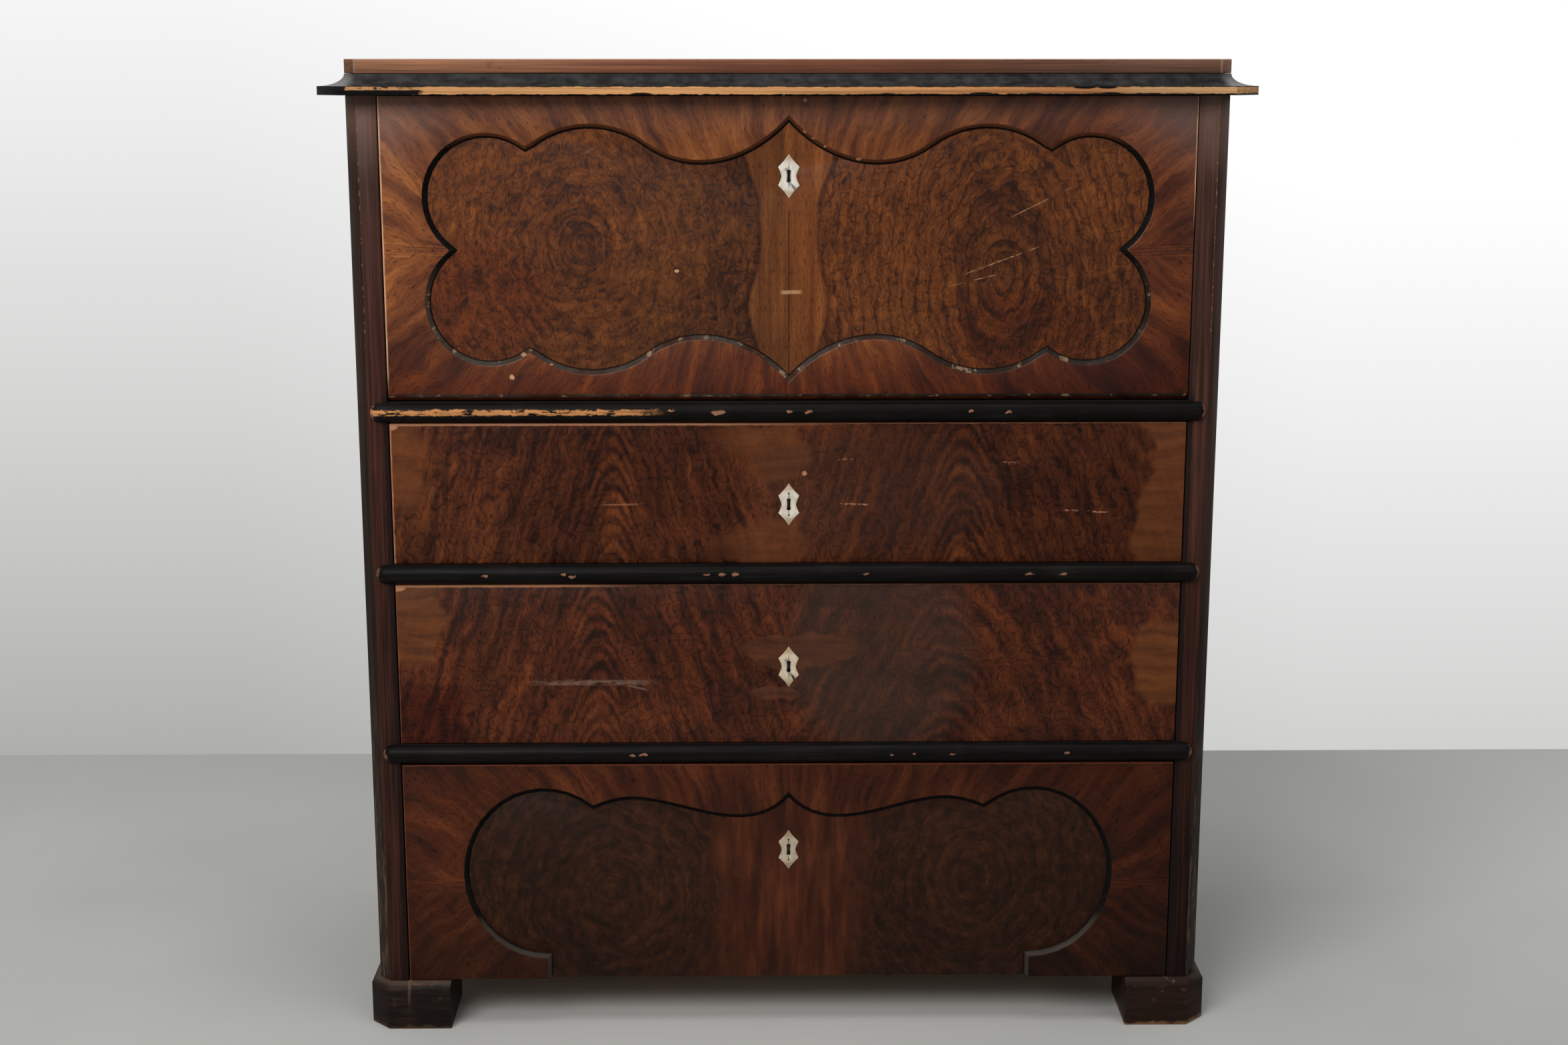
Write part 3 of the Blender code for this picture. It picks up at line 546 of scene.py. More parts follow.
def bottom_field_veneer(place):
    """The bottom drawer's field: two dark burrs in oval rings, redder by the plate."""
    x, z = place.front()
    left, left_lines, left_dapple = burl(place, x, z, (-0.237, 0.185), (1.0, 1.15), 51.0)
    right, right_lines, right_dapple = burl(place, x, z, (0.243, 0.205), (0.9, 1.2), 57.0)
    side = (x + warp(place, 0.02, 0.04)).step(-0.006, 0.006)
    rings = halves(side, (left * 300 + left_lines * 7.0).sum("SINE"),
                   (right * 300 + right_lines * 7.0).sum("SINE"))
    level = (halves(side, left_lines, right_lines) * 0.55
             + halves(side, left_dapple, right_dapple) * 0.41
             + (place.noise(8.0, 2.0) - 0.5) * 0.2 - rings.step(0.3, 0.95) * 0.05
             - curls(place, 0.026, 44.0, 19.0) * 0.06)
    red = (abs(x) + warp(place, 0.09, 0.06)).step(0.13, 0.05) * 0.75
    plain = place.streaks(x / 0.016, z / 0.11, 5.0).toned(
        (0.34, 48, 21, 11), (0.52, 72, 33, 17), (0.70, 96, 47, 24))
    colour = level.toned((0.30, 26, 13, 7), (0.44, 40, 20, 10), (0.55, 54, 28, 14),
                         (0.66, 70, 37, 18), (0.80, 90, 49, 24))
    return polished(place, colour.covered((red, plain)), level, 0.34)


EBONY_ROUGH = 0.45


def black_stain(place, seed):
    """Polished black stain over close wood: its colour and its grain."""
    x, y, z = place.parts()
    grain = place.streaks(x / 0.10, y / 0.004 + seed, z / 0.004)
    dull = place.noise(22.0, 3.0)
    colour = (grain * 0.6 + dull * 0.4).graded("stain", (0.35, 0.5), (0.55, 1.0), (0.72, 2.2))
    return colour, grain


def bare(run):
    """Bare wood where the stain is worn off, from the streaks of its grain."""
    return run.graded("bare_wood", (0.32, 0.58), (0.52, 1.0), (0.72, 1.4))


# Chips of each bead: how far across each is, its height in millimetres from the bead's middle,
# and its size share
BEAD_CHIPS = {
    "upper": ((-0.151, 3, 0.9), (-0.089, 1, 1.5), (0.0, 2, 0.8), (0.024, 1, 0.9),
              (0.231, 2, 0.7), (0.280, 1, 0.8)),
    "middle": ((-0.390, 0, 0.9), (-0.290, 1, 0.9), (-0.278, -1, 0.9), (-0.106, 1, 0.7),
               (-0.087, 1, 1.1), (-0.070, 1, 1.1), (0.098, 1, 0.6), (0.311, 1, 0.8),
               (0.353, 0, 0.9)),
    "lower": ((-0.204, 0, 0.8), (-0.189, 1, 0.9), (0.137, 0, 0.7), (0.165, 1, 0.6),
              (0.214, 0, 0.8), (0.363, 1, 0.8)),
}


def bead_stain(place):
    """The half-round beads: black, worn to bare wood along the first one's crown, chipped
    here and there and at the ends, the chips duller than the crown."""
    x, z = place.front()
    colour, grain = black_stain(place, 0.0)
    wander = warp(place, 0.010, 0.012, 3.0) + warp(place, 0.006, 0.004, 5.0)
    holes = place.streaks(x / 0.022, 1.0, z / 0.005, 4.0, 0.75)
    crown = midway("bead_upper") + MM
    rubbed = abs((z - crown) + wander * 0.55).step(0.0042, 0.0026)
    rubbed = rubbed * (x + wander * 3).step(-0.155, -0.20) * holes.step(0.43, 0.47)
    ends = (abs(x) + wander * 1.2).step(0.5262, 0.5290) * 0.9
    chips = spots(x + wander * 1.4, z + wander * 0.5 + (x * 400).sum("SINE") * 0.4 * MM,
                  5 * MM, 1.9 * MM, *((across, midway("bead_" + name) + rise * MM, share)
                                      for name, chips in BEAD_CHIPS.items()
                                      for across, rise, share in chips))
    worn = most(rubbed, chips * holes.step(0.36, 0.42), ends * holes.step(0.42, 0.5))
    wood = bare(place.streaks(x / 0.08, z / 0.003, 6.0, 4.0))
    wood = wood.tint(x.step(-0.3, 0.1).mix(shade(246, 232, 222), shade(214, 178, 164)))
    wood = wood.tint(z.step(0.70, 0.80).mix(shade(206, 200, 206), PLAIN))
    dusty = most(x.step(-0.18, -0.10), z.step(0.80, 0.70), ends)
    colour = colour.covered((worn, wood.covered((dusty * 0.6, shade(124, 92, 78)))))
    return worked(place, colour, worn * 0.28 + EBONY_ROUGH - grain * 0.1,
                  grain * 0.35 + (1 - worn), 0.35 * MM, 0.6)


def cove_stain(place):
    """The cornice's hollow: black under a little dust, with a pale painted sheen at its ends."""
    x, _ = place.front()
    colour, grain = black_stain(place, 2.0)
    dust = place.noise(60.0, 3.0).step(0.30, 0.75) * 0.35 + 0.10
    # The pale ends are a painted sheen.
    ends = (abs(x) + warp(place, 0.01, 0.02)).step(0.532, 0.548) * 0.55
    colour = colour.covered((dust, shade(74, 72, 72)), (ends, shade(128, 124, 122)))
    return worked(place, colour, EBONY_ROUGH + 0.06 - grain * 0.12, grain, 0.3 * MM)


# Nicks of the fillet: how far across each is, its height in millimetres from the fillet's lower
# edge, and its size share
FILLET_NICKS = ((0.235, 1.3, 1.0), (0.30, 1.1, 0.8), (0.392, 1.3, 1.0), (0.445, 1.2, 0.7),
                (0.12, 1.1, 0.7), (-0.18, 1.1, 0.9), (0.362, 9.9, 0.9), (0.389, 9.5, 0.7))


def fillet_wood(place):
    """The cornice's fillet: worn to bare wood along the front, still black at the left end
    but for a thin strip, both its edges ragged."""
    x, y, z = place.parts()
    stain, _ = black_stain(place, 4.0)
    run = place.streaks(x / 0.20, y / 0.004, z / 0.0022, 4.0, 0.62)
    _, _, base, _ = edges("cornice_front")
    wander = warp(place, 0.010, 0.010, 8.0)
    wood = bare(run).glazed((x.step(-0.2, 0.5), shade(212, 190, 184)),
                            (x.step(0.36, 0.46), (1.4, 2.0, 2.4)))
    left = (x + wander * 3.5).step(-0.442, -0.453)
    rubbed = place.streaks(x / 0.03, 0.0, z / 0.006, 3.0, 0.7).step(0.42, 0.50) * 0.8
    rubbed = rubbed * (z + wander * 0.12).step(base + 5.7 * MM, base + 6.7 * MM)
    rubbed = rubbed * (x + wander).step(-0.5425, -0.5405)
    low = z + wander * 0.35 - x.step(0.0, 0.4) * 0.9 * MM
    low = low.step(base + 2.1 * MM, base + 0.9 * MM)
    high = (z + wander * 0.25).step(base + 9.8 * MM, base + 10.4 * MM)
    nicks = spots(x + wander, z, 16 * MM, 2.4 * MM,
                  *((across, base + rise * MM, share) for across, rise, share in FILLET_NICKS))
    sides = (y + wander).step(-0.216, -0.208) * x.step(0.1, -0.1)
    black = most(left.most(sides) * (1 - rubbed), low, high, nicks)
    return worked(place, black.mix(wood, stain), 0.62 - black * 0.2, run * 0.5 + black * 0.6,
                  0.3 * MM, 0.6)


BEVEL_DEPTH = 7 * MM
# Chips of both bevels: how far across and up each is, and its size share
BEVEL_CHIPS = ((0.022, 1.190, 1.0), (0.030, 1.181, 1.1), (0.045, 1.170, 0.8), (0.088, 1.156, 1.1),
               (0.090, 0.921, 1.0), (0.040, 0.906, 0.8), (-0.335, 0.909, 1.0),
               (-0.300, 0.898, 0.7), (-0.17, 0.905, 0.9), (-0.435, 1.041, 0.6),
               (0.436, 1.045, 0.7), (0.180, 0.077, 1.0))


def bevel_stain(place):
    """The black bevel round a field: its outer half keeps the veneer's brown where it looks down.
    Where it looks up it is chipped, darkened as painted shade, and given a painted grey sheen with
    pale painted highlights, weaker to the right; the bottom field's lower bevel has a painted grey
    sheen too."""
    x, y, z = place.parts()
    colour, grain = black_stain(place, 7.0)
    wander = warp(place, 0.010, 0.010, 4.0)
    depth = (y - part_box("fall_surround")[0].y) / BEVEL_DEPTH
    up = (1 - z.step(1.00, 1.03)) * z.step(0.60, 0.62)
    down = z.step(1.05, 1.08)
    fleck = place.streaks(x / 0.020, 2.0, z / 0.020, 4.0, 0.7)
    veneer = down * (depth + fleck * 0.3).step(0.80, 0.60) * abs(x).step(0.43, 0.39)
    ridge = depth.step(0.02, 0.14) * depth.step(0.86, 0.58)
    # A painted grey sheen where the bevel looks up, weaker to the right.
    grey = up * ridge * fleck * (1.1 - x.step(0.0, 0.25) * 0.55)
    brown = place.noise(24.0, 3.0).step(0.46, 0.60).mix(shade(80, 69, 61), shade(72, 48, 34))
    # A painted grey sheen along the lower bevel of the bottom field.
    foot = (1 - z.step(0.14, 0.16)) * ridge * 0.45
    # Pale painted highlights along the up-facing ridge.
    pale = up * ridge * fleck.step(0.56, 0.63) * 0.6
    chips = spots(x + wander * 1.5, z + wander * 1.5, 2.8 * MM, 2.2 * MM, *BEVEL_CHIPS)
    colour = colour.covered((veneer * 0.9, shade(84, 46, 26)))
    # Where it looks up, darkened as painted shade, then the painted sheen, highlights and chips.
    colour = colour.covered((up * 0.5, colour.tint((0.35, 0.32, 0.30))), (grey, brown),
                            (foot, shade(78, 66, 58)), (pale, shade(160, 128, 100)),
                            (chips * 0.8, shade(176, 124, 86)))
    return worked(place, colour, EBONY_ROUGH - grain * 0.12, grain, 0.3 * MM)


# How far from the square corner that a cant takes off its arrises lie, measured as across and
# behind together
POST_CANT = (-14.8 * MM, 15.2 * MM)
CAP_CANT = -14.4 * MM


def cap_wood(place):
    """The cap board: brown walnut with a fine level grain, paler and greyer towards the left and
    darker towards the right as painted light and shade, paler at its right end, its left cant
    dimmer and its right one brighter as painted shade and light, its top edge rubbed."""
    x, y, z = place.parts()
    run = place.streaks(x / 0.26, y / 0.012, z / 0.0022, 4.0, 0.62)
    level = run * 0.75 + place.noise(6.0, 2.0) * 0.25
    colour = level.graded("cap", (0.34, 0.48), (0.50, 1.0), (0.66, 1.55), (0.80, 2.1))
    # Painted light to the left and painted shade to the right.
    colour = colour.tint(x.step(-0.5, 0.5).mix((1.4, 1.42, 1.46), (0.66, 0.68, 0.72)))
    colour = colour.tint(x.step(-0.5, -0.1).mix((1.5, 1.85, 1.85), PLAIN))
    colour = colour.glazed((x.step(0.1, 0.5), (1.35, 1.85, 2.2)))
    low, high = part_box("top_cap")
    colour = colour.tint(z.step(low.z, low.z + 8.5 * MM).mix((0.7, 0.68, 0.7), PLAIN))
    edge = (z + warp(place, 1.6 * MM, 0.012)).step(high.z - 2.4 * MM, high.z - 0.4 * MM) * 0.45
    reach = high.x - low.y
    cant = (abs(x) - y).step(reach - 18.0 * MM, reach - 16.3 * MM)
    # The cants: the left one in painted shade, the right one in painted light.
    dim = x.step(-0.1, 0.1).mix(shade(186, 182, 170), (1.5, 1.4, 1.3))
    corner = abs(abs(x) + y - (high.x + low.y + CAP_CANT) + warp(place, 0.002, 0.01))
    corner = cant * corner.step(0.0040, 0.0012) * 0.4
    marks = place.streaks(x / 0.012, y / 0.012, z / 0.006).step(0.64, 0.7)
    colour = colour.covered((edge, shade(176, 124, 92))).glazed((cant, dim))
    colour = colour.covered((corner, shade(170, 148, 134)))
    colour = colour.glazed((z.step(high.z - 0.8 * MM, high.z - 0.1 * MM), shade(206, 200, 198)))
    colour = colour.covered((marks * 0.35, shade(60, 38, 32)))
    return worked(place, colour, 0.48 - run * 0.1, level, 0.25 * MM, 0.4, WOOD_POLISH)


def post_wood(place):
    """The canted posts: dark red-brown, black beside the fronts, their cants worn grey low down and
    along the arris, the right one darker at its foot and paler above as painted shade and light,
    and both lightened near the top by a painted sheen."""
    x, y, z = place.parts()
    away = abs(x)
    run = place.streaks(x / 0.0035, y / 0.0035, z / 0.16, 4.0)
    level = run * 0.7 + place.noise(5.0, 3.0) * 0.3
    colour = level.toned((0.34, 34, 20, 16), (0.50, 55, 32, 26), (0.64, 74, 43, 34),
                         (0.80, 98, 60, 47))
    right = x.step(-0.1, 0.1)
    # Painted shade at the right post's foot and painted light above it.
    foot, head = right * z.step(0.55, 0.07), right * z.step(0.55, 0.85)
    # The haze is a painted sheen near the tops of the posts.
    haze = (z + warp(place, 0.05, 0.08)).step(1.12, 1.225)
    low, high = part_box("stile_right")
    square = high.x + low.y
    inner = (away + warp(place, 0.004, 0.03)).step(low.x + 9 * MM, low.x + 4 * MM)
    inner = inner * (z.step(0.87, 0.85) * 0.75 + 0.25)
    red = place.streaks(x / 0.0016, 0.0, z / 0.30, 2.0, 0.5).step(0.60, 0.66)
    red = red * 0.25 * (1 - inner) * (1 - foot)
    cant = (away + y).step(square - 15.5 * MM, square - 12.5 * MM)
    olive = level.toned((0.36, 24, 21, 18), (0.55, 40, 33, 27), (0.75, 62, 50, 40))
    streak = place.streaks(x / 0.005, y / 0.005, z / 0.05, 4.0, 0.7).step(0.50, 0.60)
    near, far = (abs(away + y - (square + arris) + warp(place, 0.002, 0.02)).step(0.0014, 0.0006)
                 for arris in POST_CANT)
    dots = place.streaks(3.0, 1.0, z / 0.009)
    dotted = (dots.step(0.53, 0.58) * (right * 0.4 + 0.6)).most(right * 0.25)
    dotted = dotted * z.step(0.90, 0.94) * near
    dotted = dotted.most(dots.step(0.64, 0.68) * 0.6 * near.most(far))
    colour = colour.glazed((foot, (0.26, 0.32, 0.34)), (head, (1.35, 1.6, 1.6))).covered(
        (haze * 0.4, shade(150, 118, 104)), (inner * 0.85, shade(24, 19, 19)),
        (red, shade(104, 50, 40)), (cant * (0.75 - head * 0.5) * (1 - haze * 0.6), olive),
        (cant * z.step(0.62, 0.15) * streak * 0.6, shade(96, 76, 60)),
        (dotted * 0.8, shade(158, 112, 92)))
    return worked(place, colour, 0.46 - run * 0.12, level, 0.3 * MM)


def foot_wood(place):
    """The block feet: nearly black, rubbed brown on their faces and soles, greyer at the top with a
    painted sheen, weaker on the right foot.
    """
    x, y, z = place.parts()
    run = place.streaks(x / 0.05, y / 0.05, z / 0.005, 4.0, 0.62)
    colour = (run * 0.6 + place.noise(14.0, 3.0) * 0.4).toned(
        (0.34, 18, 15, 14), (0.52, 30, 23, 20), (0.70, 50, 36, 29))
    right = x.step(0.0, 0.1)
    wander = warp(place, 0.012, 0.015, 3.0)
    sole = (z + wander * 1.2).step(0.007, 0.001) * (right * 0.35 + 0.15)
    rub = place.noise(60.0, 4.0, 0.7).step(0.60, 0.68) * 0.5 * z.step(0.02, 0.066) * 0.6
    # A painted sheen along the top edge, weaker on the right foot.
    top = (z - wander * 0.3).step(0.058, 0.063) * (0.45 - right * 0.35)
    worn = abs(x + 0.5085 + warp(place, 0.003, 0.012)).step(0.0026, 0.0008) * z.step(0.02, 0.06)
    colour = colour.covered((right * 0.35, shade(46, 27, 18)),
                            (sole.most(rub), shade(150, 108, 74)), (top, shade(92, 74, 64)),
                            (worn * 0.4, shade(110, 84, 74)))
    return worked(place, colour, 0.5 - run * 0.14, run, 0.35 * MM)


def side_wood(place):
    """The sides: plain stained walnut with an upright grain, scuffed at the foot."""
    x, y, z = place.parts()
    across = y + x + warp(place, 0.05, 0.25, 5.0)
    run = place.streaks(across / 0.014, z / 0.55, 2.0, 4.0)
    hair = place.streaks(across / 0.0022, z / 0.12, x, 2.0, 0.5)
    level = run * 0.65 + hair * 0.35
    low = z.step(0.22, 0.07) * place.noise(18.0, 3.0).step(0.42, 0.62) * 0.35
    colour = level.graded("side", (0.34, 0.42), (0.50, 1.0), (0.64, 1.8), (0.80, 3.0))
    colour = colour.covered((low, shade(112, 86, 66)))
    colour = porous(place, colour, x + y, z, 0.36, shade(150, 132, 124))
    return worked(place, colour, 0.46 - run * 0.1, level, 0.3 * MM, 0.45, WOOD_POLISH)


def walnut(place, along):
    """Plain polished walnut of the writing compartment, its grain lying along one direction:
    0, 1 or 2 for x, y or z."""
    parts = place.parts()
    bend = warp(place, 0.03, 0.2, 9.0)
    far, first, second = (parts[(along + turn) % 3] for turn in range(3))
    run = place.streaks(far / 0.40, (first + bend) / 0.011, (second + bend) / 0.011, 4.0)
    level = run * 0.7 + place.streaks(far / 0.08, first / 0.002, second / 0.002, 2.0, 0.5) * 0.3
    colour = level.graded("inside", (0.34, 0.5), (0.52, 1.0), (0.68, 1.55), (0.82, 2.2))
    return worked(place, colour, 0.42 - run * 0.1, level, 0.25 * MM, 0.4, INSIDE_POLISH)


def walnut_level(place):
    return walnut(place, 0)


def walnut_deep(place):
    return walnut(place, 1)


def pine(place, along):
    """Old pine of the unseen work, yellowed and dusty, with a few knots, its grain lying along
    one direction: 0, 1 or 2 for x, y or z."""
    parts = place.parts()
    bend = warp(place, 0.03, 0.14, 4.0)
    far, first, second = (parts[(along + turn) % 3] for turn in range(3))
    run = place.streaks(far / 0.7, (first + bend) / 0.016, (second + bend) / 0.016, 4.0, 0.62)
    knot = place.at(far / 0.16, first / 0.09, second / 0.09)
    eye = knot.node("ShaderNodeTexVoronoi", None, {"Vector": knot, "Scale": 1.0}, "Distance")
    level = run * 0.8 + place.noise(11.0, 3.0) * 0.2
    grime = place.noise(5.0, 4.0, 0.65).step(0.48, 0.72) * 0.45
    colour = level.graded("pine", (0.32, 0.58), (0.50, 1.0), (0.66, 1.4), (0.80, 1.75))
    colour = colour.covered((eye.step(0.10, 0.055), shade(104, 66, 40)))
    colour = colour.glazed((grime, shade(176, 160, 142)))
    return worked(place, colour, 0.78 - run * 0.1, level, 0.3 * MM, 0.5, PINE_POLISH)


def pine_level(place):
    return pine(place, 0)


def pine_deep(place):
    return pine(place, 1)


def pine_upright(place):
    return pine(place, 2)


def back_pine(place):
    """The pine of the back, which is another board every so often along x."""
    x, y, z = place.parts()
    count = bpy.context.scene.chiffonier_sizes.boards
    low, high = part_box("back_board")
    board = ((x - low.x) * (count / (high.x - low.x))).sum("FLOOR")
    return pine(place.at(x + board * 0.731, y + board * 0.173, z + board * 0.517), 2)


def rail_wood(place):
    """The rails: pine, darkened where their front edges show beside the beads, as painted shade in
    the gaps.
    """
    inputs = pine(place, 0)
    y = place.parts()[1]
    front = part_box("rail_upper")[0].y
    # Painted shade on the front edges that show in the gaps.
    dark = y.step(front + 44 * MM, front + 38 * MM)
    inputs["Base Color"] = dark.mix(inputs["Base Color"], shade(30, 21, 18))
    return inputs


PLATES = ("bottom", "middle", "upper", "fall")
# Heights between one keyhole plate and the next
BETWEEN_PLATES = (0.375, 0.615, 0.905)
# The crack of two plates, from its upper end to its lower one, in millimetres from the middle
CRACK = ((-4.4, 9.6), (0.7, 4.7), (0.0, 0.0), (-0.7, -6.7), (3.4, -11.4), (9.0, -16.5))


def by_plate(z):
    """How far up from its own plate's middle a place is, the grime and painted shade of that plate,
    darker on the lower plates, and whether the plate is cracked."""
    low, middle, upper, fall = (midway(name + "_escutcheon") for name in PLATES)
    over, above, top = (z.step(gap - 5 * MM, gap + 5 * MM) for gap in BETWEEN_PLATES)
    away = z - low - over * (middle - low) - above * (upper - middle) - top * (fall - upper)
    # Lower plates darker: partly grime, partly painted shade.
    dirt_and_shade = over.mix(shade(206, 194, 178), above.mix(shade(232, 222, 204), shade(246, 242, 238)))
    return away, top.mix(dirt_and_shade, PLAIN), top + over * (1 - above)


def bone(place):
    """Old ivory-coloured bone: fine dark pores, painted shade on its points and waist, an engraved
    keyhole with tapers and a painted dark rim that widens it, pinholes, and cracks in two of the
    four plates."""
    x, y, z = place.parts()
    cloud = place.noise(90.0, 3.0)
    level = place.streaks(x / 0.0012, y / 0.0012, z / 0.010) * 0.4 + cloud * 0.6
    away, dirt_and_shade, cracked = by_plate(z)
    up = abs(away)
    # Painted shade on the points and the waist.
    points = (up + warp(place, 0.003, 0.006)).step(13.5 * MM, 22 * MM)
    waist = abs(x).step(7 * MM, 10 * MM) * up.step(9 * MM, 5 * MM)
    taper = (abs(x) + (up - 9 * MM) * 0.10).step(1.0 * MM, 0.7 * MM)
    taper = taper * up.step(8.4 * MM, 8.8 * MM) * up.step(17 * MM, 16 * MM) * 0.8
    # A painted dark rim round the keyhole, as shade that makes it look wider.
    slot = dash(x, away, (0.0, -7.5 * MM), (0.0, 7.5 * MM), 3.8 * MM, MM) * 0.9
    hole = spots(x, up, 1.5 * MM, 1.5 * MM, (0.0, 14 * MM, 1.0)) * (1 - cracked) * 0.9
    path = [(across * MM, rise * MM) for across, rise in CRACK]
    crack = most(*[dash(x, away, start, end, 2.9 * MM, MM)
                   for start, end in zip(path, path[1:])]) * cracked
    specks = place.noise(700.0, 2.0, 0.5).step(0.66, 0.72) * 0.6
    colour = level.graded("bone", (0.30, 0.72), (0.50, 1.0), (0.70, 1.16)).tint(dirt_and_shade)
    colour = colour.glazed((points.most(waist * 0.5), shade(214, 200, 182))).covered(
        (taper, shade(84, 78, 70)), (slot, shade(46, 40, 36)), (hole, shade(52, 46, 42)),
        (crack * 0.75, shade(108, 104, 108)), (specks, shade(120, 98, 74)))
    return worked(place, colour, 0.38 + cloud * 0.15, level - crack, 0.15 * MM, 0.5,
                  BONE_POLISH)


def iron(place):
    """Old iron of the locks, brown with age."""
    cloud = place.noise(40.0, 4.0, 0.65)
    level = cloud * 0.65 + place.noise(420.0, 2.0) * 0.35
    colour = level.toned((0.32, 62, 48, 40), (0.52, 104, 98, 92), (0.72, 142, 138, 132))
    rust = cloud.step(0.44, 0.36)
    return worked(place, colour, 0.42 + rust * 0.3, level, 0.15 * MM, 0.5, METAL_POLISH,
                  0.95 - rust * 0.6)


def brass(place):
    """Dull old brass of the stays, guides and knob."""
    grit = place.noise(600.0, 2.0)
    level = place.noise(55.0, 3.0) * 0.6 + grit * 0.4
    colour = level.toned((0.32, 122, 92, 48), (0.52, 178, 142, 78), (0.72, 208, 174, 104))
    return worked(place, colour, 0.46 - level * 0.2, grit, 0.1 * MM, 0.4, METAL_POLISH, 1.0)


def new_material(name, recipe):
    """A material whose shader comes from a recipe, which is given the place."""
    material = bpy.data.materials.new(name)
    material.use_nodes = True
    tree = material.node_tree
    tree.nodes.clear()
    shader = recipe(Wire(tree).node("ShaderNodeTexCoord", output="Object"))
    end = tree.nodes.new("ShaderNodeOutputMaterial")
    tree.links.new(shader.socket, end.inputs["Surface"])
    return material


def finish(recipe):
    """The material of a recipe of inputs, made the first time that it is asked for."""
    name = recipe.__name__ + "_finish"
    return bpy.data.materials.get(name) or new_material(name, lambda place: place.node(
        "ShaderNodeBsdfPrincipled", None, recipe(place), "BSDF"))


MERGE = 0.01 * MM
FLAT = math.radians(0.5)
SHARP = math.radians(35)


def take(*pieces):
    """Selects these pieces alone, in object mode, and makes the last one active."""
    if bpy.context.mode != "OBJECT":
        bpy.ops.object.mode_set(mode="OBJECT")
    bpy.ops.object.select_all(action="DESELECT")
    for piece in pieces:
        piece.select_set(True)
        bpy.context.view_layer.objects.active = piece


def cast(node, name):
    """A CAD node's shape as a new piece, its loose triangles joined into whole faces."""
    piece = bpy.data.objects.new(name, NODES[node].data.copy())
    bpy.context.scene.collection.objects.link(piece)
    piece.data.materials.clear()
    take(piece)
    bpy.ops.object.mode_set(mode="EDIT")
    bpy.ops.mesh.select_all(action="SELECT")
    bpy.ops.mesh.remove_doubles(threshold=MERGE)
    bpy.ops.mesh.dissolve_limited(angle_limit=FLAT)
    bpy.ops.object.mode_set(mode="OBJECT")
    bpy.ops.mesh.customdata_custom_splitnormals_clear()
    return piece


def soften(piece, width, turns=2):
    """Takes the sharpness off every arris of a piece and smooths its curves."""
    take(piece)
    bevel = piece.modifiers.new("arris", "BEVEL")
    bevel.width = width
    bevel.segments = turns
    bevel.limit_method = "ANGLE"
    bevel.angle_limit = SHARP
    bevel.use_clamp_overlap = True
    bpy.ops.object.modifier_apply(modifier=bevel.name)
    bpy.ops.object.shade_smooth_by_angle(angle=SHARP)
    return piece


def centre(low, high):
    """The middle between two corners."""
    return [(low[part] + high[part]) / 2 for part in range(3)]


def block(name, low, high):
    """A squared piece of wood between two corners."""
    bpy.ops.mesh.primitive_cube_add(size=1.0, location=centre(low, high))
    piece = bpy.context.object
    piece.name = name
    piece.scale = [high[part] - low[part] for part in range(3)]
    return joined(piece)


def resized(piece, way, size, middle, move=(0.0, 0.0, 0.0)):
    """A piece whose faces that look one way are resized about a point, and then moved."""
    take(piece)
    bpy.ops.object.mode_set(mode="EDIT")
    bpy.ops.mesh.select_mode(type="FACE")
    bpy.ops.mesh.select_all(action="DESELECT")
    bpy.ops.object.mode_set(mode="OBJECT")
    for face in piece.data.polygons:
        face.select = face.normal.dot(Vector(way)) > 0.9
    bpy.ops.object.mode_set(mode="EDIT")
    bpy.ops.transform.resize(value=size, center_override=middle)
    bpy.ops.transform.translate(value=move)
    bpy.ops.object.mode_set(mode="OBJECT")
    return piece


def joined(piece, *others):
    """Several pieces as one, at the origin."""
    take(*others, piece)
    if others:
        bpy.ops.object.join()
    bpy.ops.object.transform_apply(location=True, rotation=True, scale=True)
    return piece


def repeated(piece, count, step):
    """A piece and its copies, each a step further along, as one."""
    row = [piece]
    for number in range(1, count):
        take(piece)
        bpy.ops.object.duplicate()
        bpy.ops.transform.translate(value=[part * number for part in step])
        row.append(bpy.context.object)
    return joined(*row)


def combined(piece, other, operation):
    """A piece cut by another, or grown together with it, which is used up."""
    take(piece)
    change = piece.modifiers.new("combined", "BOOLEAN")
    change.operation = operation
    change.solver = "EXACT"
    change.object = other
    bpy.ops.object.modifier_apply(modifier=change.name)
    bpy.data.objects.remove(other)
    return piece


def coat(piece, recipe, *others):
    """Gives a piece one finish, and other finishes to the faces that pass a test of their
    middle and normal."""
    piece.data.materials.append(finish(recipe))
    for face in piece.data.polygons:
        face.material_index = 0
    for number, (other, test) in enumerate(others, 1):
        piece.data.materials.append(finish(other))
        for face in piece.data.polygons:
            if test(face.center, face.normal):
                face.material_index = number


def hand_over(piece, body, slot, *nodes):
    """Makes a finished piece ride on a body and stand for CAD nodes."""
    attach(piece, body)
    if nodes:
        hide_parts(*nodes)


def stain_nodes(recipe, *nodes):
    """Gives CAD nodes whose shape is right one finish."""
    for node in nodes:
        mesh = NODES[node].data
        mesh.materials.clear()
        mesh.materials.append(finish(recipe))


def fine(node, body, slot, width, recipe, *others, turns=2):
    """A finer piece in a CAD node's place: the same shape with softened arrises."""
    piece = soften(cast(node, node + "_piece"), width, turns)
    coat(piece, recipe, *others)
    hand_over(piece, body, slot, node)


def length(name, text, default, least=0.0, most=0.01):
    """A size on the panel, in metres."""
    return bpy.props.FloatProperty(name=name, description=text, default=default, min=least,
                                   max=most, unit="LENGTH", precision=4)


def tone(name, text, red, green, blue):
    """A colour on the panel."""
    return bpy.props.FloatVectorProperty(name=name, description=text, size=3, min=0.0, max=1.0,
                                         default=shade(red, green, blue), subtype="COLOR")


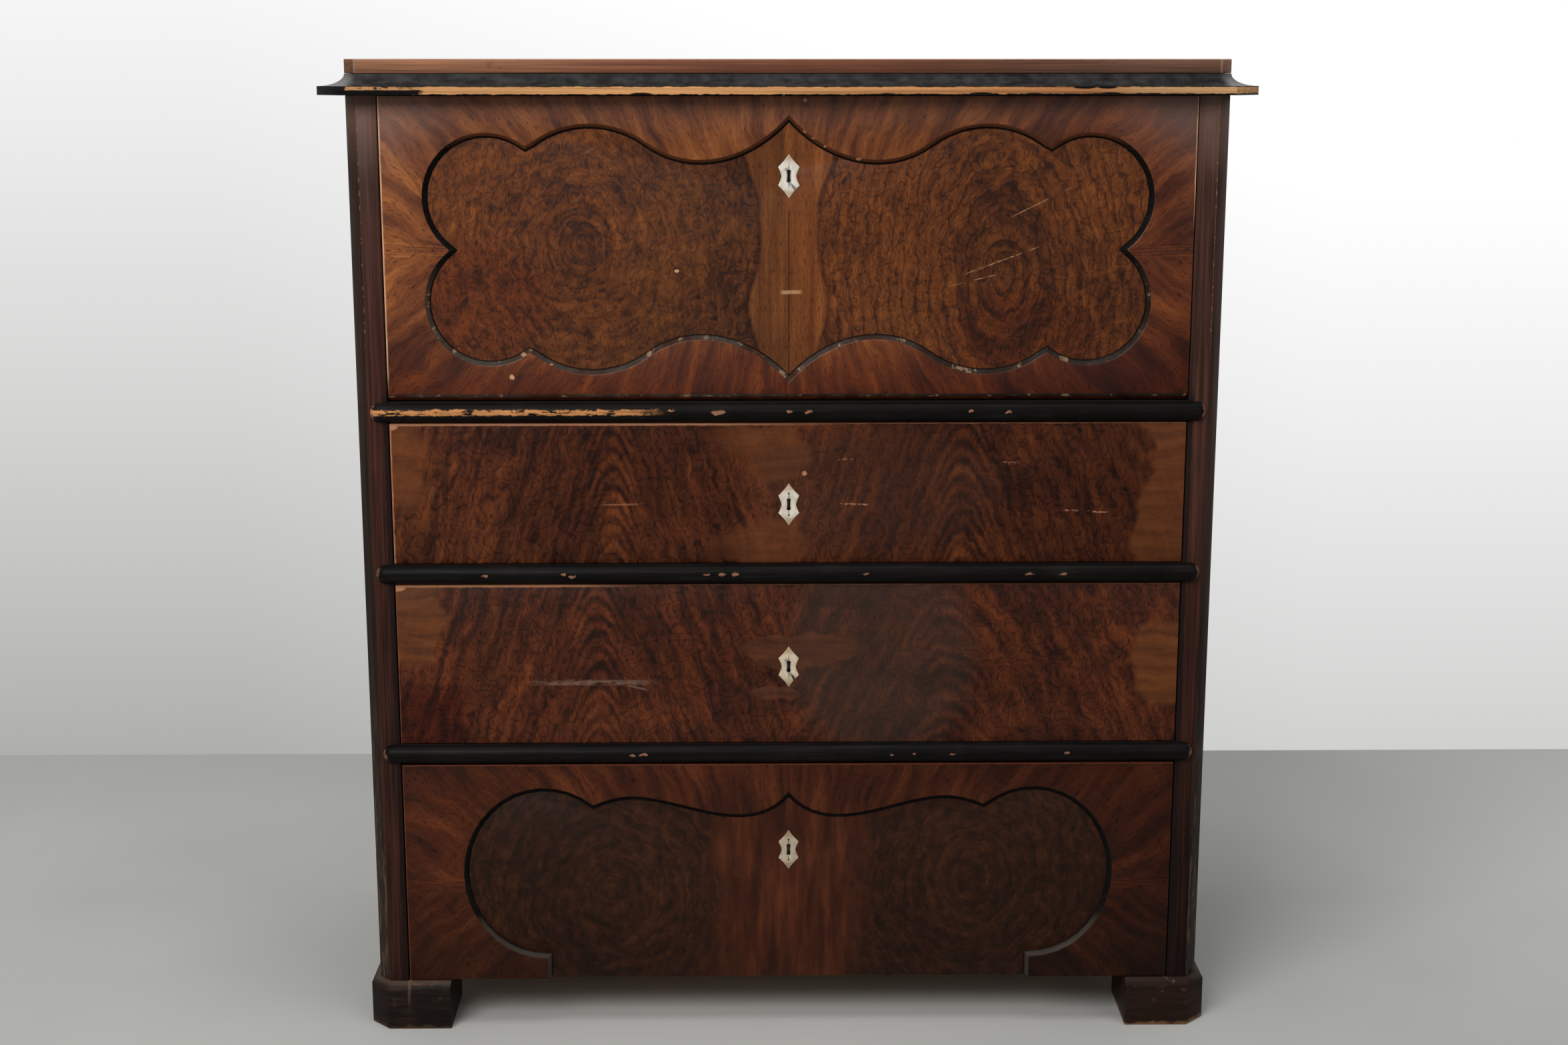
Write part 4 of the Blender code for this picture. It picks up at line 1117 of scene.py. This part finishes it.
class ChiffonierSizes(bpy.types.PropertyGroup):
    """Sizes that the CAD leaves open."""

    panel_arris: length("Panel arris", "Rounding of the arrises of fronts and surrounds", 0.0009)
    moulding_arris: length("Moulding arris", "Rounding of the cornice, cap and beads", 0.0011)
    post_arris: length("Post arris", "Rounding of the posts, feet and back boards", 0.0013)
    inside_arris: length("Inside arris", "Rounding of the unseen work", 0.0006)
    plate_arris: length("Plate arris", "Rounding of the bone plates and the stays", 0.0004)
    board_gap: length("Board gap", "Opening between two boards of the back", 0.0012)
    boards: bpy.props.IntProperty(name="Back boards", description="Number of boards of the back",
                                  default=6, min=1, max=12)
    pin_spacing: length("Dovetail spacing", "Distance between the dovetail pins of the drawers",
                        0.038, 0.02, 0.08)
    pin_height: length("Dovetail pin", "Height of a dovetail pin where it is widest", 0.012)
    lens: bpy.props.FloatProperty(name="Lens", description="Focal length of the camera",
                                  default=50.0, min=20.0, max=120.0)


class ChiffonierColours(bpy.types.PropertyGroup):
    """Colours of the stage and of the plain finishes."""

    veneer: tone("Veneer tint", "Colour that the figured veneers are multiplied by", 255, 255, 255)
    stain: tone("Black stain", "Colour of the cornice, the beads and the bevels", 18, 16, 15)
    bare_wood: tone("Bare wood", "Colour of the wood where the stain is worn off", 192, 140, 91)
    cap: tone("Cap", "Colour of the cap board", 101, 60, 41)
    side: tone("Sides", "Colour of the stained sides", 64, 39, 28)
    inside: tone("Inside walnut", "Colour of the writing compartment", 120, 78, 48)
    pine: tone("Pine", "Colour of the back, the drawer boxes and the rear feet", 174, 134, 88)
    bone: tone("Bone", "Colour of the keyhole plates", 216, 208, 194)
    floor: tone("Floor", "Colour of the floor", 174, 173, 169)
    wall_light: tone("Wall, light", "Lighter colour of the wall", 255, 255, 255)
    wall_dark: tone("Wall, dark", "Darker colour of the wall", 174, 174, 172)


# How far a bevel stays inside its surround's box, and how far behind the surround's face
RIM = 4 * MM
FACE = 0.5 * MM
# How deep the pine shows at a front's rear, and the veneer behind a field's face
SKIN = 2 * MM


def on_bevel(node):
    """A test for the faces of a surround that belong to the bevel round its field."""
    low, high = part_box(node)

    def test(at, way):
        inside = abs(at.x) < high.x - RIM and low.z + RIM < at.z < high.z - RIM
        return inside and abs(way.y) < 0.97 and at.y > low.y + FACE
    return test


class MakeFall(bpy.types.Operator):
    """The writing fall: its board and the cut-out surround on it."""

    bl_idname = "chiffonier.fall"
    bl_label = "Writing fall"

    def execute(self, context):
        arris = context.scene.chiffonier_sizes.panel_arris
        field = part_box("fall_surround")[1].y
        fine("fall_board", "fall", "figured_walnut", arris, walnut_level,
             (fall_field_veneer, lambda at, way: way.y < -0.9 and at.y < field + SKIN))
        fine("fall_surround", "fall", "figured_walnut", arris, fall_surround_veneer,
             (bevel_stain, on_bevel("fall_surround")))
        return {"FINISHED"}


class MakeDrawers(bpy.types.Operator):
    """The three long drawers: veneered fronts, boxes and bottoms."""

    bl_idname = "chiffonier.drawers"
    bl_label = "Long drawers"

    def execute(self, context):
        sizes = context.scene.chiffonier_sizes
        drawers = {"upper": upper_drawer_veneer, "middle": middle_drawer_veneer,
                   "bottom": bottom_field_veneer}
        for name, recipe in drawers.items():
            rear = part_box(name + "_drawer_front")[1].y - SKIN
            # The lock of the bottom front hides its recess, which isn't pine
            recess = name != "bottom"
            fine(name + "_drawer_front", name + "_drawer", "drawer_walnut", sizes.panel_arris,
                 recipe, (pine_level, lambda at, way: at.y > rear or recess and way.y > 0.9))
        fine("bottom_drawer_surround", "bottom_drawer", "drawer_walnut", sizes.panel_arris,
             bottom_surround_veneer, (bevel_stain, on_bevel("bottom_drawer_surround")))
        for name in drawers:
            fine(name + "_drawer_bottom", name + "_drawer", "bare_wood", sizes.inside_arris,
                 pine_level)
            dovetailed_box(name, sizes)
        return {"FINISHED"}


SIDE = 12 * MM
BACK = 10 * MM
PLAY = 0.15 * MM
PIN_TAPER = 0.62


def pins(name, low, high, count, step):
    """A row of dovetail pins one above the other, each narrower towards the rear."""
    pin = resized(block(name, low, high), (0.0, 1.0, 0.0), (1.0, 1.0, PIN_TAPER),
                  centre(low, high))
    return repeated(pin, count, (0.0, 0.0, step))


def dovetailed_box(name, sizes):
    """A drawer's sides and back, whose pins show in the sides."""
    node = name + "_drawer_box"
    low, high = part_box(node)
    step, half = sizes.pin_spacing, sizes.pin_height / 2
    count = int((high.z - low.z - sizes.pin_height) / step)
    first = (low.z + high.z - (count - 1) * step) / 2
    inner = high.x - SIDE
    back = block(name + "_drawer_wood", (-inner + PLAY, high.y - BACK, low.z),
                 (inner - PLAY, high.y, high.z))
    soften(back, sizes.inside_arris)
    sides = []
    for hand in (-1, 1):
        near, far = sorted((hand * inner, hand * high.x))
        side = block("side", (near, low.y, low.z), (far, high.y, high.z))
        soften(side, sizes.inside_arris)
        near, far = sorted((hand * (inner - MM), hand * (high.x + MM)))
        holes = pins("holes", (near, high.y - BACK - PLAY, first - half - PLAY),
                     (far, high.y + MM, first + half + PLAY), count, step)
        combined(side, holes, "DIFFERENCE")
        coat(side, pine_deep)
        sides.append(side)
        near, far = sorted((hand * (inner - MM), hand * (high.x - PLAY)))
        tongues = pins("pins", (near, high.y - BACK, first - half),
                       (far, high.y - PLAY, first + half), count, step)
        combined(back, tongues, "UNION")
    coat(back, pine_level)
    hand_over(joined(back, *sides), name + "_drawer", "bare_wood", node)


FILLET = 11 * MM


class MakeMouldings(bpy.types.Operator):
    """The cap, the cornice round the top and the three half-round beads."""

    bl_idname = "chiffonier.mouldings"
    bl_label = "Cap, cornice and beads"

    def execute(self, context):
        arris = context.scene.chiffonier_sizes.moulding_arris
        fine("top_cap", "case", "cap_walnut", arris, cap_wood, turns=3)
        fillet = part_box("cornice_front")[0].z + FILLET
        for part in ("front", "left", "right"):
            fine("cornice_" + part, "case", "ebonised_wood", arris / 2, cove_stain,
                 (fillet_wood, lambda at, way: at.z < fillet))
        for level in ("lower", "middle", "upper"):
            fine("bead_" + level, "case", "ebonised_wood", arris, bead_stain)
        return {"FINISHED"}


class MakePosts(bpy.types.Operator):
    """The canted posts and the feet."""

    bl_idname = "chiffonier.posts"
    bl_label = "Posts and feet"

    def execute(self, context):
        arris = context.scene.chiffonier_sizes.post_arris
        for side in ("left", "right"):
            fine("stile_" + side, "case", "dark_walnut", arris, post_wood)
            fine("foot_front_" + side, "case", "ebonised_wood", arris, foot_wood, turns=3)
            fine("foot_rear_" + side, "case", "bare_wood", arris, pine_upright)
        return {"FINISHED"}


KNOB = 13.5 * MM


class MakeCase(bpy.types.Operator):
    """The carcass: sides, back, rails, runners and the writing compartment."""

    bl_idname = "chiffonier.case"
    bl_label = "Carcass and inside"

    def execute(self, context):
        sizes = context.scene.chiffonier_sizes
        stain_nodes(side_wood, "side_left", "side_right")
        stain_nodes(rail_wood, "top_board", "bottom_board", "rail_lower", "rail_middle",
                    "rail_upper")
        stain_nodes(pine_deep, "runner_middle_left", "runner_middle_right",
                    "runner_upper_left", "runner_upper_right")
        stain_nodes(walnut_deep, "lining_left", "lining_right", "letter_divider_left",
                    "letter_divider_right")
        for node in ("writing_floor", "letter_shelf"):
            fine(node, "case", "figured_walnut", sizes.inside_arris, walnut_level)
        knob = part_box("letter_drawer")[0].y + KNOB
        fine("letter_drawer", "small_drawer", "figured_walnut", sizes.inside_arris, walnut_level,
             (walnut_deep, lambda at, way: abs(way.x) > 0.9), (brass, lambda at, way: at.y < knob))
        low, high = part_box("back_board")
        step = (high.x - low.x + sizes.board_gap) / sizes.boards
        board = block("back_boards", low, (low.x + step - sizes.board_gap, high.y, high.z))
        soften(board, sizes.post_arris)
        boards = repeated(board, sizes.boards, (step, 0.0, 0.0))
        coat(boards, back_pine)
        hand_over(boards, "case", "bare_wood", "back_board")
        return {"FINISHED"}


# Splinters missing from the lower right edge of two plates: width and place of the foot, from
# the plate's middle, in millimetres
BROKEN = {"fall": (1.4, 8.4, -18.5), "middle": (3.6, 8.2, -19.0)}
SPLINTER_HEIGHT = 8.5 * MM
SPLINTER_LEAN = -4.6 * MM
SPLINTER_TAPER = 0.4


def splinter(name):
    """The missing splinter of a plate: a leaning wedge, narrow above."""
    low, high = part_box(name + "_escutcheon")
    wide, across, foot = (value * MM for value in BROKEN[name])
    foot = midway(name + "_escutcheon") + foot
    top = foot + SPLINTER_HEIGHT
    wedge = block("splinter", (across - wide / 2, low.y - MM, foot),
                  (across + wide / 2, high.y + MM, top))
    return resized(wedge, (0.0, 0.0, 1.0), (SPLINTER_TAPER, 1.0, 1.0), (across, low.y, top),
                   (SPLINTER_LEAN, 0.0, 0.0))


SCREW_RADIUS = 2.6 * MM
SCREW_HEIGHT = 0.35 * MM
SCREW_INSET = 5.5 * MM
SLOT_WIDTH = 0.8 * MM
# Degrees that the first screw's slot is turned, and each screw's more than the last one's
SLOT_TURN = 25
SLOT_STEP = 50


def screws(name):
    """The four slotted screw heads in the corners of a lock's case, which stand out a little."""
    low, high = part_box(name)
    places = [(x, high.y, z) for z in (low.z + SCREW_INSET, high.z - SCREW_INSET)
              for x in (low.x + SCREW_INSET, high.x - SCREW_INSET)]
    row = []
    for number, place in enumerate(places):
        bpy.ops.mesh.primitive_cylinder_add(
            vertices=20, radius=SCREW_RADIUS, depth=2 * SCREW_HEIGHT, location=place,
            rotation=(math.radians(90), 0.0, 0.0))
        head = soften(joined(bpy.context.object), SCREW_HEIGHT * 0.4)
        bpy.ops.mesh.primitive_cube_add(
            size=1.0, location=(place[0], high.y + SCREW_HEIGHT, place[2]),
            rotation=(0.0, math.radians(SLOT_TURN + SLOT_STEP * number), 0.0))
        slot = bpy.context.object
        slot.scale = (SCREW_RADIUS * 3, SCREW_HEIGHT, SLOT_WIDTH)
        row.append(combined(head, joined(slot), "DIFFERENCE"))
    heads = joined(*row)
    heads.name = name + "_screws"
    coat(heads, iron)
    return heads


class MakeFittings(bpy.types.Operator):
    """Bone keyhole plates, iron locks and bolts, and the brass of the fall."""

    bl_idname = "chiffonier.fittings"
    bl_label = "Plates, locks and stays"

    def execute(self, context):
        sizes = context.scene.chiffonier_sizes
        bodies = {"fall": "fall", "upper": "upper_drawer", "middle": "middle_drawer",
                  "bottom": "bottom_drawer"}
        for name, body in bodies.items():
            plate = soften(cast(name + "_escutcheon", name + "_plate"), sizes.plate_arris)
            if name in BROKEN:
                combined(plate, splinter(name), "DIFFERENCE")
            coat(plate, bone)
            hand_over(plate, body, "bone", name + "_escutcheon")
            fine(name + "_lock", body, "iron", sizes.inside_arris, iron)
            fine(name + "_bolt", name + "_lock_bolt", "iron", sizes.inside_arris, iron)
            hand_over(screws(name + "_lock"), body, "iron")
        for side in ("left", "right"):
            fine("fall_stay_" + side, "fall", "brass", sizes.plate_arris, brass)
            fine("stay_guide_" + side, "case", "brass", sizes.inside_arris, brass)
        return {"FINISHED"}


FLOOR_SIZE = 16.0
WALL_PLACE = 0.95
WALL_HEIGHT = 4.0
# How much the wall brightens upwards for each metre, and over two metres to the right
WALL_RISE = 0.62
WALL_RIGHT = 0.36
# Strength of the light from all round, apart from where the camera sees it
WORLD_POWER = 0.50
# Lamps: name, place, the point that they face, width, height and power
LAMPS = (("key_lamp", (-1.9, -3.6, 3.4), (0.0, 0.0, 0.8), 2.6, 2.0, 155.0),
         ("fill_lamp", (2.8, -3.4, 2.6), (0.0, 0.0, 0.6), 2.4, 2.4, 22.0),
         ("top_lamp", (0.0, -0.6, 4.2), (0.0, 0.1, 0.0), 3.0, 2.2, 70.0))
CAMERA_PLACE = (-0.0411, -2.9736, 1.2724)
CAMERA_DOWN = 11.945
CAMERA_TURN = -0.731
SENSOR_WIDTH = 36.0


def floor_paint(place):
    """The pale floor, with a faint mottle, a painted shadow to the near right and painted light
    behind.
    """
    x, y, _ = place.parts()
    colour = place.noise(1.3, 3.0).step(0.3, 0.7).mix(chosen("floor"), shade(182, 181, 177))
    # Painted shadow to the near right and painted light behind.
    colour = colour.covered(
        (x.step(-0.2, 1.3) * y.step(0.1, -1.0) * 0.6, shade(122, 121, 118)),
        (x.step(0.5, 1.6) * y.step(-0.3, 0.6) * 0.6, shade(206, 206, 202)))
    return {"Base Color": colour, "Roughness": 0.7, "Specular IOR Level": FLOOR_POLISH}


def wall_paint(place):
    """The wall: a pale ground, brighter upwards and to the right as painted light, that only the
    camera and reflections see, and that isn't there from behind."""
    x, z = place.front()
    light = z.most(0.0) * WALL_RISE + ((x + 1.0) * 0.5).most(0.0).least(1.0) * WALL_RIGHT
    colour = light.least(1.0).mix(chosen("wall_dark"), chosen("wall_light"))
    glow = place.node("ShaderNodeEmission", None, {"Color": colour}, "Emission")
    clear = place.node("ShaderNodeBsdfTransparent", None, None, "BSDF")
    seen = place.node("ShaderNodeLightPath", output="Is Camera Ray").most(
        place.node("ShaderNodeLightPath", output="Is Glossy Ray"))
    back = place.node("ShaderNodeNewGeometry", output="Backfacing")
    return place.node("ShaderNodeMixShader", None, {0: seen * (1 - back), 1: clear, 2: glow},
                      "Shader")


def paint_world(scene):
    """Even light from all round, and a white ground where the camera looks past the stage."""
    scene.world = bpy.data.worlds.new("studio")
    scene.world.use_nodes = True
    tree = scene.world.node_tree
    seen = Wire(tree).node("ShaderNodeLightPath", output="Is Camera Ray")
    ground = tree.nodes["Background"]
    sky = seen.mix(shade(205, 208, 210), chosen("wall_light"))
    tree.links.new(sky.socket, ground.inputs["Color"])
    power = seen * (1 - WORLD_POWER) + WORLD_POWER
    tree.links.new(power.socket, ground.inputs["Strength"])


def lamp(name, place, aim, width, height, power):
    """A soft rectangular lamp that faces a point."""
    bpy.ops.object.light_add(type="AREA", location=place)
    made = bpy.context.object
    made.name = name
    made.data.shape = "RECTANGLE"
    made.data.size = width
    made.data.size_y = height
    made.data.energy = power
    made.rotation_euler = (Vector(aim) - Vector(place)).to_track_quat("-Z", "Y").to_euler()


class MakeStage(bpy.types.Operator):
    """A plain pale floor and wall, soft lamps and the camera."""

    bl_idname = "chiffonier.stage"
    bl_label = "Stage"

    def execute(self, context):
        scene = context.scene
        bpy.ops.mesh.primitive_plane_add(size=FLOOR_SIZE, location=(0.0, 0.0, 0.0))
        floor = context.object
        floor.name = "floor"
        coat(floor, floor_paint)
        bpy.ops.mesh.primitive_plane_add(size=1.0, location=(0.0, WALL_PLACE, WALL_HEIGHT / 2),
                                         rotation=(math.radians(90), 0.0, 0.0))
        wall = context.object
        wall.name = "wall"
        wall.scale = (FLOOR_SIZE, WALL_HEIGHT, 1.0)
        joined(wall)
        wall.data.materials.append(new_material("wall_paint", wall_paint))
        paint_world(scene)
        for row in LAMPS:
            lamp(*row)
        turn = (math.radians(90 - CAMERA_DOWN), 0.0, math.radians(CAMERA_TURN))
        bpy.ops.object.camera_add(location=CAMERA_PLACE, rotation=turn)
        scene.camera = context.object
        scene.camera.data.lens = scene.chiffonier_sizes.lens
        scene.camera.data.sensor_width = SENSOR_WIDTH
        scene.view_settings.view_transform = "Standard"
        return {"FINISHED"}


class ChiffonierPanel(bpy.types.Panel):
    """The steps that make the chiffonier, with its sizes and colours."""

    bl_idname = "VIEW3D_PT_chiffonier"
    bl_label = "Chiffonier"
    bl_space_type = "VIEW_3D"
    bl_region_type = "UI"
    bl_category = "Chiffonier"

    def draw(self, context):
        for step in STEPS:
            self.layout.operator(step.bl_idname)
        for group in (context.scene.chiffonier_sizes, context.scene.chiffonier_colours):
            for name in group.__annotations__:
                self.layout.prop(group, name)


STEPS = (MakeFall, MakeDrawers, MakeMouldings, MakePosts, MakeCase, MakeFittings, MakeStage)
CLASSES = (ChiffonierSizes, ChiffonierColours, *STEPS, ChiffonierPanel)


def register():
    for one in CLASSES:
        bpy.utils.register_class(one)
    bpy.types.Scene.chiffonier_sizes = bpy.props.PointerProperty(type=ChiffonierSizes)
    bpy.types.Scene.chiffonier_colours = bpy.props.PointerProperty(type=ChiffonierColours)


def unregister():
    del bpy.types.Scene.chiffonier_sizes
    del bpy.types.Scene.chiffonier_colours
    for one in reversed(CLASSES):
        bpy.utils.unregister_class(one)


def main():
    """Makes the chiffonier and its stage."""
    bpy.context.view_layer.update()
    register()
    for step in STEPS:
        group, name = step.bl_idname.split(".")
        getattr(getattr(bpy.ops, group), name)()


if __name__ == "__main__":
    main()
